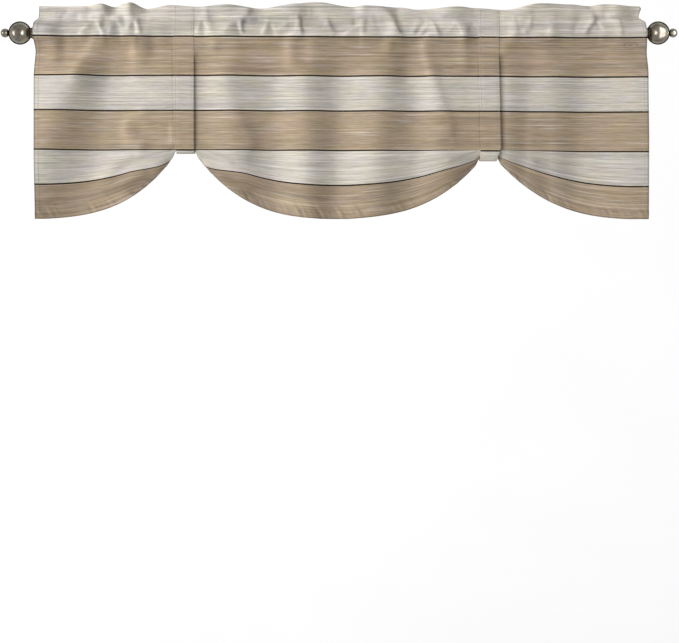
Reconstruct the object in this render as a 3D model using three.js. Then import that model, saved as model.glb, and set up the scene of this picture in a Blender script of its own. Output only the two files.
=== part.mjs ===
// Tie-up valance on its rod: one gathered cloth panel, two sewn ties, a rod with collars and ball finials.
// Millimetres. X runs along the rod, Y towards the wall, Z up. The origin is the rod's axis at mid-length.
import * as THREE from 'three';

// Rod, collars and finials
const ROD_RADIUS = 14;
const ROD_HALF_LENGTH = 650;
const ROD_SIDES = 32;
const COLLAR_RADIUS = 14;
const COLLAR_NECK_RADIUS = 11;
const COLLAR_LENGTH = 15;
const BALL_RADIUS = 25;
const BALL_CENTRE = 688;
const BEAD_RADIUS = 9.5;
const BEAD_CENTRE = 720;
const CREASE_RADIUS = 5;
const TURNED_SIDES = 28;
const BALL_STEPS = 11;
const BEAD_STEPS = 7;
const SEAT_GAP = 0.3;

// Cloth panel as it hangs
const CLOTH_LEFT = -658;
const CLOTH_RIGHT = 669;
const CLOTH_THICKNESS = 1.2;
const HEADER_TOP = 56;
const HEADER_STITCH = 33;
const POCKET_SEAM = -37;
const GATHER_LINE = -252;
const HEM = -401;
const TURNED_EDGE = 4;
const HALF_LAYER = 0.9;
const ROD_CLEARANCE = 0.85;
const END_PUFF = 8;
const END_PUFF_REACH = 70;
const FOLD_PUFF = 0.5;
const FOLD_AT_SEAM = 0.25;
const FOLD_FULL_BELOW_SEAM = 60;
const EDGE_REACH = 90;

// Drawn-up cloth at the ties
const BUNCH_WAVES = 2;
const BUNCH_TURN = 1.6;
const BUNCH_TAPER = 0.5;
const BUNCH_CORE = 0.15;
const BUNCH_EDGE = 0.7;
const SWAG_CURL = 6;
const SWAG_CURL_REACH = 170;
const SWAG_CURL_HEIGHT = 30;
const SWAG_SHOULDER = 6;
const SWAG_SHOULDER_REACH = 8;

// Ties
const TIE_WIDTH = 44;
const TIE_PINCH_HEIGHT = 30;
const TIE_THICKNESS = 2;
const TIE_FRONT = 3.4;
const TIE_BACK = 33;
const TIE_TURN_HEIGHT = 26;
const TIE_TURN_SQUARENESS = 9;
const TIE_TOP_INSET = 3;
const TIE_BACK_END = -18;
const TIE_GAP = 0.45;
const TIE_OFFSET = CLOTH_THICKNESS / 2 + TIE_GAP + TIE_THICKNESS / 2;
const TIE_SEAT = 2.2;
const TIE_SIDE_GAP = 1.5;

// How finely the cloth is divided
const COLUMN_STEP = 34;
const COLUMN_STEP_AT_TIE = 4;
const COLUMN_STEP_BESIDE_TIE = 17;
const BESIDE_TIE = 36;
const HEADER_ROWS = 3;
const POCKET_ARC_STEPS = 2;
const BODY_ROWS = 5;
const SWAG_ROWS = 17;
const TIE_FREE_STEPS = 8;
const TIE_TURN_STEPS = 12;
const ARC_SUBSTEPS = 8;

// Each tie: its middle where it is sewn on and how far it leans aside below, the outside of its lower turn
// and that turn's edges, the top of the cloth bunched in it, and how the hem swags down on either side
const TIES = [
  {
    name: 'left', x: -335, lean: 0, bottom: -259, footLeft: -351, footRight: -312, bunchTop: -234,
    leftReach: 560, leftRoundness: 5.47, rightReach: 391, rightRoundness: 3.62,
  },
  {
    name: 'right', x: 322.5, lean: 5, bottom: -275, footLeft: 304, footRight: 341, bunchTop: -250,
    leftReach: 475, leftRoundness: 4.36, rightReach: 378, rightRoundness: 3.18,
  },
];

// Collar's outline, a flange at the rod narrowing to a neck: share of its length from the rod, and radius
const COLLAR_OUTLINE = [
  { share: 0, radius: COLLAR_RADIUS },
  { share: 0.6, radius: COLLAR_RADIUS },
  { share: 0.7, radius: COLLAR_RADIUS * 0.92 },
  { share: 0.8, radius: COLLAR_NECK_RADIUS * 1.03 },
  { share: 0.9, radius: COLLAR_NECK_RADIUS },
  { share: 1, radius: COLLAR_NECK_RADIUS * 1.03 },
];

// Header ruffle along the top edge: height above HEADER_TOP and depth towards the viewer
const HEADER_FOLDS = [
  { x: -647, rise: 1, depth: 0 },
  { x: -590, rise: 1, depth: -3 },
  { x: -544, rise: 1, depth: 1 },
  { x: -513, rise: 6, depth: 6 },
  { x: -484, rise: 0, depth: -4 },
  { x: -451, rise: 9, depth: 6 },
  { x: -414, rise: -4, depth: -5 },
  { x: -364, rise: 4, depth: 0 },
  { x: -302, rise: 0, depth: 0 },
  { x: -244, rise: 5, depth: 6 },
  { x: -170, rise: -3, depth: -6 },
  { x: -91, rise: 7, depth: 3 },
  { x: -52, rise: 10, depth: 6 },
  { x: 32, rise: 0, depth: -5 },
  { x: 54, rise: 3, depth: 4 },
  { x: 129, rise: -1, depth: -4 },
  { x: 170, rise: -6, depth: -2 },
  { x: 259, rise: 0, depth: 3 },
  { x: 296, rise: -3, depth: 0 },
  { x: 358, rise: -7, depth: 0 },
  { x: 436, rise: 7, depth: 6 },
  { x: 498, rise: 5, depth: 1 },
  { x: 537, rise: 2, depth: -6 },
  { x: 570, rise: 5, depth: 3 },
  { x: 651, rise: 1, depth: 0 },
];

// Crests and troughs of the hanging body: where each lies below the pocket and at the hem,
// and its depth towards the viewer there; the first two lean out past the left edge
const BODY_FOLDS = [
  { top: -658, foot: -800, topDepth: -2, footDepth: 0 },
  { top: -560, foot: -705, topDepth: 9, footDepth: 12 },
  { top: -484, foot: -538, topDepth: -11, footDepth: -14 },
  { top: -368, foot: -368, topDepth: 0, footDepth: 0 },
  { top: -298, foot: -298, topDepth: 0, footDepth: 0 },
  { top: -246, foot: -214, topDepth: 7, footDepth: 6 },
  { top: -142, foot: -142, topDepth: -6, footDepth: -3 },
  { top: -75, foot: -67, topDepth: 5, footDepth: 9 },
  { top: 6, foot: -4, topDepth: -8, footDepth: -3 },
  { top: 93, foot: 75, topDepth: 6, footDepth: 9 },
  { top: 168, foot: 157, topDepth: -6, footDepth: -3 },
  { top: 215, foot: 233, topDepth: 1, footDepth: 7 },
  { top: 292, foot: 292, topDepth: 0, footDepth: 0 },
  { top: 362, foot: 362, topDepth: 0, footDepth: 0 },
  { top: 416, foot: 404, topDepth: -6, footDepth: -6 },
  { top: 459, foot: 459, topDepth: -1, footDepth: -14 },
  { top: 541, foot: 515, topDepth: -10, footDepth: -20 },
  { top: 669, foot: 669, topDepth: 3, footDepth: -8 },
];

// How far the side edges are drawn in at each height
const EDGE_INSETS = [
  { z: 56, left: 12, right: 18 },
  { z: 33, left: 11, right: 24 },
  { z: 20, left: 1, right: 10 },
  { z: 0, left: 0, right: 8 },
  { z: -37, left: 4, right: 6 },
  { z: -90, left: 0, right: 2 },
  { z: -250, left: 1, right: 0 },
  { z: -390, left: 3, right: 0 },
];

const CLOTH_FINISH = { color: 0xb5a793, roughness: 0.9, metalness: 0 };
const TIE_FINISH = { color: 0xb0a18b, roughness: 0.9, metalness: 0 };
const ROD_FINISH = { color: 0x8c867c, roughness: 0.35, metalness: 1 };
const PEWTER_FINISH = { color: 0x7d766b, roughness: 0.28, metalness: 1 };

const { lerp, clamp, smoothstep } = THREE.MathUtils;

// Even steps from one value to another, both ends included
function spread(from, to, steps) {
  return Array.from({ length: steps + 1 }, (_, i) => lerp(from, to, i / steps));
}

// Value of a table between its rows, eased so that each row is a crest or a trough
function eased(rows, at, place, value) {
  const next = rows.findIndex((row) => place(row) >= at);
  if (next === 0) return value(rows[0]);
  if (next < 0) return value(rows[rows.length - 1]);
  const [a, b] = [rows[next - 1], rows[next]];
  const share = (at - place(a)) / (place(b) - place(a));
  return lerp(value(a), value(b), smoothstep(share, 0, 1));
}

function headerRise(x) {
  return eased(HEADER_FOLDS, x, (row) => row.x, (row) => row.rise);
}

function headerDepth(x) {
  return eased(HEADER_FOLDS, x, (row) => row.x, (row) => row.depth);
}

// Depth of the body's folds at a height, growing from the pocket seam down
function bodyDepth(x, z) {
  const fall = clamp((POCKET_SEAM - z) / (POCKET_SEAM - HEM), 0, 1);
  const place = (row) => lerp(row.top, row.foot, fall);
  const depth = eased(BODY_FOLDS, x, place, (row) => lerp(row.topDepth, row.footDepth, fall));
  const grown = smoothstep(POCKET_SEAM - z, 0, FOLD_FULL_BELOW_SEAM);
  return depth * lerp(FOLD_AT_SEAM, 1, grown);
}

// Place along the rod once the side edges are drawn in, most at the edge itself
function drawnIn(x, z) {
  const height = (row) => -row.z;
  const fade = (distance) => Math.max(0, 1 - distance / EDGE_REACH) ** 2;
  const left = eased(EDGE_INSETS, -z, height, (row) => row.left) * fade(x - CLOTH_LEFT);
  const right = eased(EDGE_INSETS, -z, height, (row) => row.right) * fade(CLOTH_RIGHT - x);
  return x + left - right;
}

// Distance along the rod from the edges of a tie's lower turn, nought between them
function fromTie(tie, x) {
  return Math.max(0, tie.footLeft - TIE_SIDE_GAP - x, x - tie.footRight - TIE_SIDE_GAP);
}

// Distance from the middle of a tie's lower turn, as a share of half that turn's width
function offMiddle(tie, x) {
  return Math.abs(2 * x - tie.footLeft - tie.footRight) / (tie.footRight - tie.footLeft);
}

function nearestTie(x) {
  return TIES.reduce((a, b) => (fromTie(a, x) <= fromTie(b, x) ? a : b));
}

// Lowest line of the cloth: held up at the ties, swagging to the hem between and beside them
function swagFoot(x) {
  const heights = TIES.map((tie) => {
    const held = tie.bottom + TIE_THICKNESS + TIE_SEAT + CLOTH_THICKNESS / 2;
    const [reach, roundness] = x < tie.x
      ? [tie.leftReach, tie.leftRoundness]
      : [tie.rightReach, tie.rightRoundness];
    const rest = Math.max(0, 1 - fromTie(tie, x) / reach);
    const shoulder = SWAG_SHOULDER * rest * smoothstep(fromTie(tie, x), 0, SWAG_SHOULDER_REACH);
    return Math.max(HEM, lerp(HEM, held, rest ** roundness) - shoulder);
  });
  return Math.max(...heights);
}

// Radius of the pocket around the rod, puffed out at its ends and under the header's forward folds
function pocketRadius(x) {
  const snug = ROD_RADIUS + CLOTH_THICKNESS / 2 + ROD_CLEARANCE;
  const fromEnd = Math.min(x - CLOTH_LEFT, CLOTH_RIGHT - x);
  const puff = END_PUFF * (1 - smoothstep(fromEnd, 0, END_PUFF_REACH));
  return snug + puff + FOLD_PUFF * Math.max(0, headerDepth(x));
}

// One layer of the pocket from the header stitch down to the seam: straight to the rod, round it, straight on
function pocketLayer(x, side) {
  const radius = pocketRadius(x);
  const upper = Math.acos(radius / HEADER_STITCH);
  const lower = Math.PI - Math.acos(radius / -POCKET_SEAM);
  const round = spread(upper, lower, POCKET_ARC_STEPS).map((angle) => [
    radius * Math.sin(angle),
    radius * Math.cos(angle),
  ]);
  const [lastY, lastZ] = round[round.length - 1];
  const path = [[0, HEADER_STITCH], ...round, [lastY / 2, (lastZ + POCKET_SEAM) / 2], [0, POCKET_SEAM]];
  const seamShift = -bodyDepth(x, POCKET_SEAM);
  return path.map(([y, z]) => {
    const swell = HALF_LAYER + y * (radius - HALF_LAYER) / radius;
    const hang = clamp(z / POCKET_SEAM, 0, 1) ** 2;
    return [side * swell + seamShift * hang, z];
  });
}

// One layer of the header from just above its stitch to just below its fold
function headerLayer(x, side) {
  const top = HEADER_TOP + headerRise(x) - HALF_LAYER;
  const depth = headerDepth(x);
  return spread(HEADER_STITCH, top, HEADER_ROWS).slice(1).map((z) => {
    const share = (z - HEADER_STITCH) / (top - HEADER_STITCH);
    return [side * HALF_LAYER - depth * share, z];
  });
}

// Cloth drawn up into back-and-forth folds at a tie, easing into a smooth swag away from it
function swagSection(x) {
  const tie = nearestTie(x);
  const off = offMiddle(tie, x);
  const start = lerp(tie.bunchTop, GATHER_LINE, smoothstep(off, BUNCH_EDGE, 1));
  const length = start - HEM;
  const height = start - swagFoot(x);
  const turn = BUNCH_TURN * (1 - smoothstep(off, BUNCH_CORE, BUNCH_EDGE));
  const away = 1 - smoothstep(fromTie(tie, x), 0, SWAG_CURL_REACH);
  const curl = SWAG_CURL * away * Math.min(1, height / SWAG_CURL_HEIGHT);
  const slice = 1 / (SWAG_ROWS * ARC_SUBSTEPS);
  const path = [[0, 0]];
  let [y, z] = [0, 0];
  for (let i = 0; i < SWAG_ROWS * ARC_SUBSTEPS; i += 1) {
    const share = (i + 0.5) * slice;
    const angle = -turn * Math.sin(2 * Math.PI * BUNCH_WAVES * share);
    y -= Math.sin(angle) * slice;
    z -= Math.cos(angle) * slice;
    if ((i + 1) % ARC_SUBSTEPS === 0) path.push([y, z]);
  }
  const reach = -z;
  return path.map(([forth, fall], row) => {
    const share = row / SWAG_ROWS;
    const level = start + (fall / reach) * height;
    const fold = forth * length * (1 - BUNCH_TAPER * share ** 2) + curl * share ** 2;
    return [fold - HALF_LAYER - bodyDepth(x, start + fall * length), level];
  });
}

// Whole section of the cloth at one place along the rod: pocket back, header, pocket front, body, swag
function clothSection(x) {
  const back = pocketLayer(x, 1);
  const front = pocketLayer(x, -1);
  const swag = swagSection(x);
  const turnedEnd = POCKET_SEAM - TURNED_EDGE;
  const fold = [-headerDepth(x), HEADER_TOP + headerRise(x)];
  const body = spread(POCKET_SEAM, swag[0][1], BODY_ROWS)
    .slice(1, -1)
    .map((z) => [-HALF_LAYER - bodyDepth(x, z), z]);
  return [
    [HALF_LAYER - bodyDepth(x, turnedEnd), turnedEnd],
    ...back.reverse(),
    ...headerLayer(x, 1),
    fold,
    ...headerLayer(x, -1).reverse(),
    ...front,
    ...body,
    ...swag,
  ];
}

// Places along the rod where the cloth is worked out, closest together in the ties
function clothColumns() {
  const stops = [{ x: CLOTH_LEFT, step: COLUMN_STEP }];
  TIES.forEach(({ footLeft, footRight }) => {
    stops.push({ x: footLeft - BESIDE_TIE, step: COLUMN_STEP });
    stops.push({ x: footLeft - TIE_SIDE_GAP, step: COLUMN_STEP_BESIDE_TIE });
    stops.push({ x: footRight + TIE_SIDE_GAP, step: COLUMN_STEP_AT_TIE });
    stops.push({ x: footRight + BESIDE_TIE, step: COLUMN_STEP_BESIDE_TIE });
  });
  stops.push({ x: CLOTH_RIGHT, step: COLUMN_STEP });
  const columns = [stops[0].x];
  for (let i = 1; i < stops.length; i += 1) {
    const from = stops[i - 1].x;
    const count = Math.ceil((stops[i].x - from) / stops[i].step);
    columns.push(...spread(from, stops[i].x, count).slice(1));
  }
  return columns;
}

// Closed solid from a grid of points on a sheet's middle surface
function sheetSolid(grid, thickness) {
  const columns = grid.length;
  const rows = grid[0].length;
  const at = (i, j) => grid[clamp(i, 0, columns - 1)][clamp(j, 0, rows - 1)];
  const normal = (i, j) => {
    const along = at(i + 1, j).clone().sub(at(i - 1, j));
    const before = at(i, j).clone().sub(at(i, j - 1)).normalize();
    const after = at(i, j + 1).clone().sub(at(i, j)).normalize();
    return along.cross(before.add(after)).normalize();
  };
  const vertices = [];
  [1, -1].forEach((side) => {
    for (let i = 0; i < columns; i += 1) {
      for (let j = 0; j < rows; j += 1) {
        const point = at(i, j).clone().addScaledVector(normal(i, j), (side * thickness) / 2);
        vertices.push(point.x, point.y, point.z);
      }
    }
  });
  const front = (i, j) => i * rows + j;
  const back = (i, j) => columns * rows + i * rows + j;
  const faces = [];
  const quad = (a, b, c, d) => faces.push(a, b, c, a, c, d);
  for (let i = 0; i + 1 < columns; i += 1) {
    for (let j = 0; j + 1 < rows; j += 1) {
      quad(front(i, j), front(i + 1, j), front(i + 1, j + 1), front(i, j + 1));
      quad(back(i, j), back(i, j + 1), back(i + 1, j + 1), back(i + 1, j));
    }
    quad(front(i, 0), back(i, 0), back(i + 1, 0), front(i + 1, 0));
    quad(front(i, rows - 1), front(i + 1, rows - 1), back(i + 1, rows - 1), back(i, rows - 1));
  }
  for (let j = 0; j + 1 < rows; j += 1) {
    quad(front(0, j), front(0, j + 1), back(0, j + 1), back(0, j));
    quad(front(columns - 1, j), back(columns - 1, j), back(columns - 1, j + 1), front(columns - 1, j + 1));
  }
  const geometry = new THREE.BufferGeometry();
  geometry.setAttribute('position', new THREE.Float32BufferAttribute(vertices, 3));
  geometry.setIndex(faces);
  geometry.computeVertexNormals();
  return geometry;
}

function panelGeometry() {
  const grid = clothColumns().map((x) =>
    clothSection(x).map(([y, z]) => new THREE.Vector3(drawnIn(x, z), y, z)));
  return sheetSolid(grid, CLOTH_THICKNESS);
}

// Path a set distance to one side of another path in the same section, mitred at its corners
function besidePath(path, distance) {
  const points = path.map(([y, z]) => new THREE.Vector2(y, z));
  const across = (a, b) => new THREE.Vector2(a.y - b.y, b.x - a.x).normalize();
  return points.map((point, i) => {
    const before = across(points[Math.max(0, i - 1)], points[Math.max(1, i)]);
    const last = points.length - 1;
    const after = across(points[Math.min(last - 1, i)], points[Math.min(last, i + 1)]);
    const middle = before.clone().add(after).normalize();
    const moved = point.clone().addScaledVector(middle, distance / middle.dot(before));
    return [moved.x, moved.y];
  });
}

// Section of a tie: down over header and pocket, free to the bunched cloth, round under it and up behind
function tieSection(tie) {
  const front = [...headerLayer(tie.x, -1).reverse(), ...pocketLayer(tie.x, -1)];
  front[0][1] -= TIE_TOP_INSET;
  const over = besidePath(front, -TIE_OFFSET);
  const behind = besidePath(pocketLayer(tie.x, 1), TIE_OFFSET).filter(([, z]) => z < TIE_BACK_END);
  const turnTop = tie.bottom + TIE_THICKNESS / 2 + TIE_TURN_HEIGHT;
  const free = (from, to) => spread(0, 1, TIE_FREE_STEPS).slice(1, -1).map((share) => [
    lerp(from[0], to[0], smoothstep(share, 0, 1)),
    lerp(from[1], to[1], share),
  ]);
  const middle = (TIE_BACK - TIE_FRONT) / 2;
  const half = (TIE_BACK + TIE_FRONT) / 2;
  const squared = (value) => Math.sign(value) * Math.abs(value) ** (2 / TIE_TURN_SQUARENESS);
  const turn = spread(0, Math.PI, TIE_TURN_STEPS).map((angle) => [
    middle - half * squared(Math.cos(angle)),
    turnTop - TIE_TURN_HEIGHT * squared(Math.sin(angle)),
  ]);
  const up = behind.reverse();
  return [
    ...over,
    ...free(over[over.length - 1], turn[0]),
    ...turn,
    ...free(up[0], turn[turn.length - 1]).reverse(),
    ...up,
  ];
}

function tieGeometry(tie) {
  const section = tieSection(tie);
  const edge = (side, foot) => section.map(([y, z]) => {
    const leaning = tie.lean * clamp((POCKET_SEAM - z) / (POCKET_SEAM - tie.bottom), 0, 1);
    const pinch = smoothstep(tie.bottom + TIE_PINCH_HEIGHT - z, 0, TIE_PINCH_HEIGHT);
    return new THREE.Vector3(lerp(tie.x + leaning + (side * TIE_WIDTH) / 2, foot, pinch), y, z);
  });
  return sheetSolid([edge(-1, tie.footLeft), edge(1, tie.footRight)], TIE_THICKNESS);
}

// Turned piece from its profile of radius and distance along the rod
function turnedGeometry(profile, side) {
  const points = profile.map(([radius, along]) => new THREE.Vector2(radius, along));
  const geometry = new THREE.LatheGeometry(points, TURNED_SIDES);
  geometry.rotateZ(-side * Math.PI / 2);
  return geometry;
}

function collarProfile() {
  const inner = ROD_HALF_LENGTH + SEAT_GAP;
  const outer = inner + COLLAR_LENGTH;
  const side = COLLAR_OUTLINE.map(({ share, radius }) => [radius, lerp(inner, outer, share)]);
  return [[0, inner], ...side, [0, outer]];
}

// Round outline of a ball between two distances along the rod
function ballArc(centre, radius, from, to, steps) {
  const angles = spread(Math.acos((from - centre) / radius), Math.acos((to - centre) / radius), steps);
  return angles.map((angle) => [radius * Math.sin(angle), centre + radius * Math.cos(angle)]);
}

function finialProfile() {
  const base = ROD_HALF_LENGTH + COLLAR_LENGTH + 2 * SEAT_GAP;
  const crease = BALL_CENTRE + Math.sqrt(BALL_RADIUS ** 2 - CREASE_RADIUS ** 2);
  const ball = ballArc(BALL_CENTRE, BALL_RADIUS, base, crease, BALL_STEPS);
  const bead = ballArc(BEAD_CENTRE, BEAD_RADIUS, crease, BEAD_CENTRE + BEAD_RADIUS, BEAD_STEPS);
  bead[bead.length - 1][0] = 0;
  return [[0, base], ...ball, ...bead.slice(1)];
}

function piece(name, geometry, finish) {
  const mesh = new THREE.Mesh(geometry, new THREE.MeshStandardMaterial(finish));
  mesh.name = name;
  return mesh;
}

const valance = new THREE.Group();
valance.name = 'tie_up_valance';

valance.add(piece('valance_panel', panelGeometry(), CLOTH_FINISH));
TIES.forEach((tie) => valance.add(piece(`tie_${tie.name}`, tieGeometry(tie), TIE_FINISH)));

const rod = new THREE.CylinderGeometry(ROD_RADIUS, ROD_RADIUS, 2 * ROD_HALF_LENGTH, ROD_SIDES);
rod.rotateZ(Math.PI / 2);
valance.add(piece('rod', rod, ROD_FINISH));

[['left', -1], ['right', 1]].forEach(([end, side]) => {
  valance.add(piece(`collar_${end}`, turnedGeometry(collarProfile(), side), PEWTER_FINISH));
  valance.add(piece(`finial_${end}`, turnedGeometry(finialProfile(), side), PEWTER_FINISH));
});

export default valance;
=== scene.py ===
"""Tie-up valance on its rod: printed cloth, sewn ties, stitching, rod and finials, and the stage around them.

Metres. X runs along the rod to the viewer's right, Y towards the wall and Z up. The origin lies on the rod's
axis at mid-length.
"""

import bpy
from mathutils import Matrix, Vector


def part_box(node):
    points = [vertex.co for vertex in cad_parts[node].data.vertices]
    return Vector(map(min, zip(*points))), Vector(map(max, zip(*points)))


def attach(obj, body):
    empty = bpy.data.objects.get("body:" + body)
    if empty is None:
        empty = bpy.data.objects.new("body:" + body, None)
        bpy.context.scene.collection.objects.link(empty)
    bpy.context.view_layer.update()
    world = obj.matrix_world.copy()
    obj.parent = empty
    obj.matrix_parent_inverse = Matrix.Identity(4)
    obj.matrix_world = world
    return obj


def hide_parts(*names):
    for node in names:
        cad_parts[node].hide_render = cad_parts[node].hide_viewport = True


bl_info = {
    "name": "Tie-up valance on its rod",
    "version": (1, 0, 0),
    "blender": (4, 5, 0),
    "location": "3D View > Sidebar > Valance",
    "description": "Dresses the packed valance: printed cloth, ties, stitching, rod, finials and stage",
    "category": "Add Mesh",
}

import math
from collections import namedtuple

import bpy
import numpy as np
from mathutils import Vector

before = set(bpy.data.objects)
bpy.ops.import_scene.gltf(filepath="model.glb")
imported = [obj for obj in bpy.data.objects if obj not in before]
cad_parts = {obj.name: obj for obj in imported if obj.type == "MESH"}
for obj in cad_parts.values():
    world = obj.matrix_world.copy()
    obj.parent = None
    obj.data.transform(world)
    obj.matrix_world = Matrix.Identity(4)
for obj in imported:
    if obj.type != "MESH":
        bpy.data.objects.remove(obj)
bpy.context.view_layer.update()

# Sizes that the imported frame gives
PANEL_LOW, PANEL_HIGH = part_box("valance_panel")
ROD_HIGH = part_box("rod")[1]
COLLAR_LOW, COLLAR_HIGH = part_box("collar_right")
FINIAL_LOW, FINIAL_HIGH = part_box("finial_right")
CLOTH_LEFT, CLOTH_RIGHT = PANEL_LOW.x, PANEL_HIGH.x
HEM = PANEL_LOW.z
ROD_RADIUS, ROD_HALF_LENGTH = ROD_HIGH.z, ROD_HIGH.x

# Panel as it hangs
CLOTH_THICKNESS = 0.0012
HEADER_TOP = 0.056
HEADER_STITCH = 0.033
POCKET_SEAM = -0.037
GATHER_LINE = -0.252
TURNED_EDGE = 0.004
HALF_LAYER = 0.0009
ROD_CLEARANCE = 0.00085
END_PUFF = 0.008
END_PUFF_REACH = 0.070
FOLD_PUFF = 0.5
POCKET_SLACK = 0.0022
SEAM_HOLD = 0.012
FOLD_AT_SEAM = 0.25
FOLD_FULL_BELOW_SEAM = 0.060
EDGE_REACH = 0.090

# Drawn-up cloth at the ties
BUNCH_WAVES = 2
BUNCH_TURN = 1.6
BUNCH_TAPER = 0.5
BUNCH_CORE = 0.15
BUNCH_EDGE = 0.7
SWAG_CURL = 0.006
SWAG_CURL_REACH = 0.170
SWAG_CURL_HEIGHT = 0.030
SWAG_SHOULDER = 0.006
SWAG_SHOULDER_REACH = 0.008
ROLL_EASE = 1.5
PRINT_SAG = 0.22

# Hems: how wide they are and how softly they begin, and the small waves that their stitching draws in
BOTTOM_HEM = 0.0125
BOTTOM_HEM_STEP = 0.0006
SIDE_HEM = 0.010
SIDE_HEM_STEP = 0.003
SIDE_HEM_STITCH = 0.0096
HEM_FULLNESS = 0.0005
PUCKER_RISE = 0.00022
PUCKER_REACH = 0.016
PUCKER_LEAN = 0.6
PUCKER_WAVELENGTHS = (0.013, 0.019, 0.031)
PUCKER_PHASE = 40
PUCKER_SWELLS = ((37, 1.1), (20.3, 0.4))

# Shade painted into the cloth's colour, as a share of it, and light painted on its crests, for each metre of
# their height
PUCKER_SHADE = 0.09
PUCKER_SHADE_REACH = 0.006
EDGE_SHADE = 0.5
EDGE_SHADE_REACH = 0.004
TIE_EDGE_SHADE = 0.2
TIE_EDGE_SHADE_FROM = 0.96
TIE_FOOT_LIGHT = 0.35
CREST_LIGHT = 32

# Ties
TIE_WIDTH = 0.044
TIE_PINCH_HEIGHT = 0.030
TIE_THICKNESS = 0.002
TIE_FRONT = 0.0034
TIE_BACK = 0.033
TIE_TURN_HEIGHT = 0.026
TIE_TURN_SQUARENESS = 9
TIE_TURN_POINTS = 49
TIE_FREE_POINTS = 30
TIE_TOP_INSET = 0.003
TIE_BACK_END = -0.018
TIE_GAP = 0.00045
TIE_OFFSET = CLOTH_THICKNESS / 2 + TIE_GAP + TIE_THICKNESS / 2
TIE_SEAT = 0.0022
TIE_SIDE_GAP = 0.0015
TIE_EDGE_STITCH = 0.004
TIE_GROOVE_SHARE = 0.03
TIE_GROOVE_DEPTH = 0.2
TIE_ROUNDED_FROM = 0.94
TIE_ROUNDING = 0.3
TIE_ROW_STEP = 0.003
TIE_EDGE_DROOP = 0.00015
TIE_EDGE_DROOP_POWER = 6
TIE_SEWN_THICKNESS = 0.0004
TIE_SEWN_GAP = 0.0001
TIE_FREE_BELOW = 0.030

# Turned finials and collars
BALL_RADIUS = 0.025
BALL_CENTRE = 0.688
BEAD_RADIUS = 0.0095
BEAD_CENTRE = 0.720
FINIAL_CREASE_RADIUS = 0.005
FINIAL_CREASE = BALL_CENTRE + math.sqrt(BALL_RADIUS**2 - FINIAL_CREASE_RADIUS**2)
COLLAR_RADIUS = 0.014
COLLAR_NECK_RADIUS = 0.011
ROD_CHAMFER = 0.0012
TURNED_SIDES = 72
BALL_STEPS = 40
BEAD_STEPS = 22

# Printed planks: where a pale plank ends at mid-length, their heights, how the print runs down to the right,
# the gaps between them and the lighter wood beside a gap
PRINT_TOP_LINE = -0.0073
TAN_PLANK = 0.0853
PALE_PLANK = 0.0754
PRINT_SLOPE = 0.0033
PRINT_DROP_AT_ROD = 0.0027
PRINT_WANDER = 0.0003
GAP_HALF_WIDTH = 0.0015
GAP_SOFTNESS = 0.0005
GAP_COVER = 0.95
GAP_LIGHT = 0.16
GAP_LIGHT_REACH = (0.0024, 0.0050)
PLANK_SHIFT = 7.31

# Knot in the wood: place, size, and how dark its rings and its eye are and how far they reach, as shares of
# the size
KNOT_X = 0.630
KNOT_Z = -0.026
KNOT_HALF_WIDTH = 0.026
KNOT_HALF_HEIGHT = 0.0115
KNOT_RINGS = 13.0
KNOT_RING_DARK = 0.13
KNOT_RING_REACH = (0.25, 1.1)
KNOT_EYE_DARK = 0.3
KNOT_EYE_REACH = (0.10, 0.26)

# How finely the pieces are divided, the angles that stay sharp, and the least distance
INNER_COLUMNS = 450
POCKET_ROWS = (6, 9)
POCKET_BACK_ROWS = (2, 5)
HEADER_ROWS = 8
HEADER_BACK_ROWS = 3
BODY_ROWS = 30
SWAG_ROWS = 24
SWAG_SUBSTEPS = 640
SIDE_HEM_STEPS = (0, 0.0012, 0.0045, 0.0082, SIDE_HEM_STITCH, 0.0110, 0.0145)
SIDE_HEM_REACH = 0.018
HEM_ROW_HEIGHTS = (0.0155, 0.0138, BOTTOM_HEM, 0.0112, 0.0085, 0.0045, 0.0012, 0)
TIE_STITCH_ACROSS = 0.41
TIE_HALF_ACROSS = (0.1, 0.25, 0.37, TIE_STITCH_ACROSS, 0.45, 0.485, 0.5)
TIE_ACROSS = (*[-share for share in reversed(TIE_HALF_ACROSS)], *TIE_HALF_ACROSS)
CLOTH_SHARP_ANGLE = math.radians(65)
TURNED_SHARP_ANGLE = math.radians(40)
HAIRSBREADTH = 1e-9

# Stage, from the photograph's frame of 679 by 643 pixels
FRAME_WIDTH = 1.464
CAMERA_X = 0.001
CAMERA_HEIGHT = -0.622
SENSOR_WIDTH = 36
SWEEP_FRONT = -16
SWEEP_BEND_START = 3
SWEEP_BEND_RADIUS = 6
SWEEP_TOP = 9
SWEEP_HALF_WIDTH = 22
SWEEP_BEND_STEPS = 24
MIRRORED_STUDIO = 0.27
MOTTLE_SCALE = 1.5
MOTTLE_DETAIL = 3.0
MOTTLE_SHADES = (0.3, 0.7, 0.89, 0.91)

HeaderFold = namedtuple("HeaderFold", "x rise depth")
BodyFold = namedtuple("BodyFold", "top foot top_depth foot_depth")
EdgeInset = namedtuple("EdgeInset", "z left right")
Tie = namedtuple("Tie", "name x lean bottom foot_left foot_right bunch_top left right")
Swag = namedtuple("Swag", "reach roundness hidden hidden_reach")
Stop = namedtuple("Stop", "share radius")
Cloth = namedtuple("Cloth", "points normals flat thickness hollow")
Grain = namedtuple("Grain", "along across detail roughness")
Softbox = namedtuple("Softbox", "name place size power")

# Lights that only the metal mirrors
SOFTBOXES = (
    Softbox("softbox_left", (-1.57, -0.47, -0.05), (0.5, 0.48), 3.0),
    Softbox("softbox_right", (1.56, -0.50, 0.0), (1.5, 1.3), 14.0),
    Softbox("softbox_middle", (0.0, -1.15, -0.08), (0.26, 0.74), 3.6),
)

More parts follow.
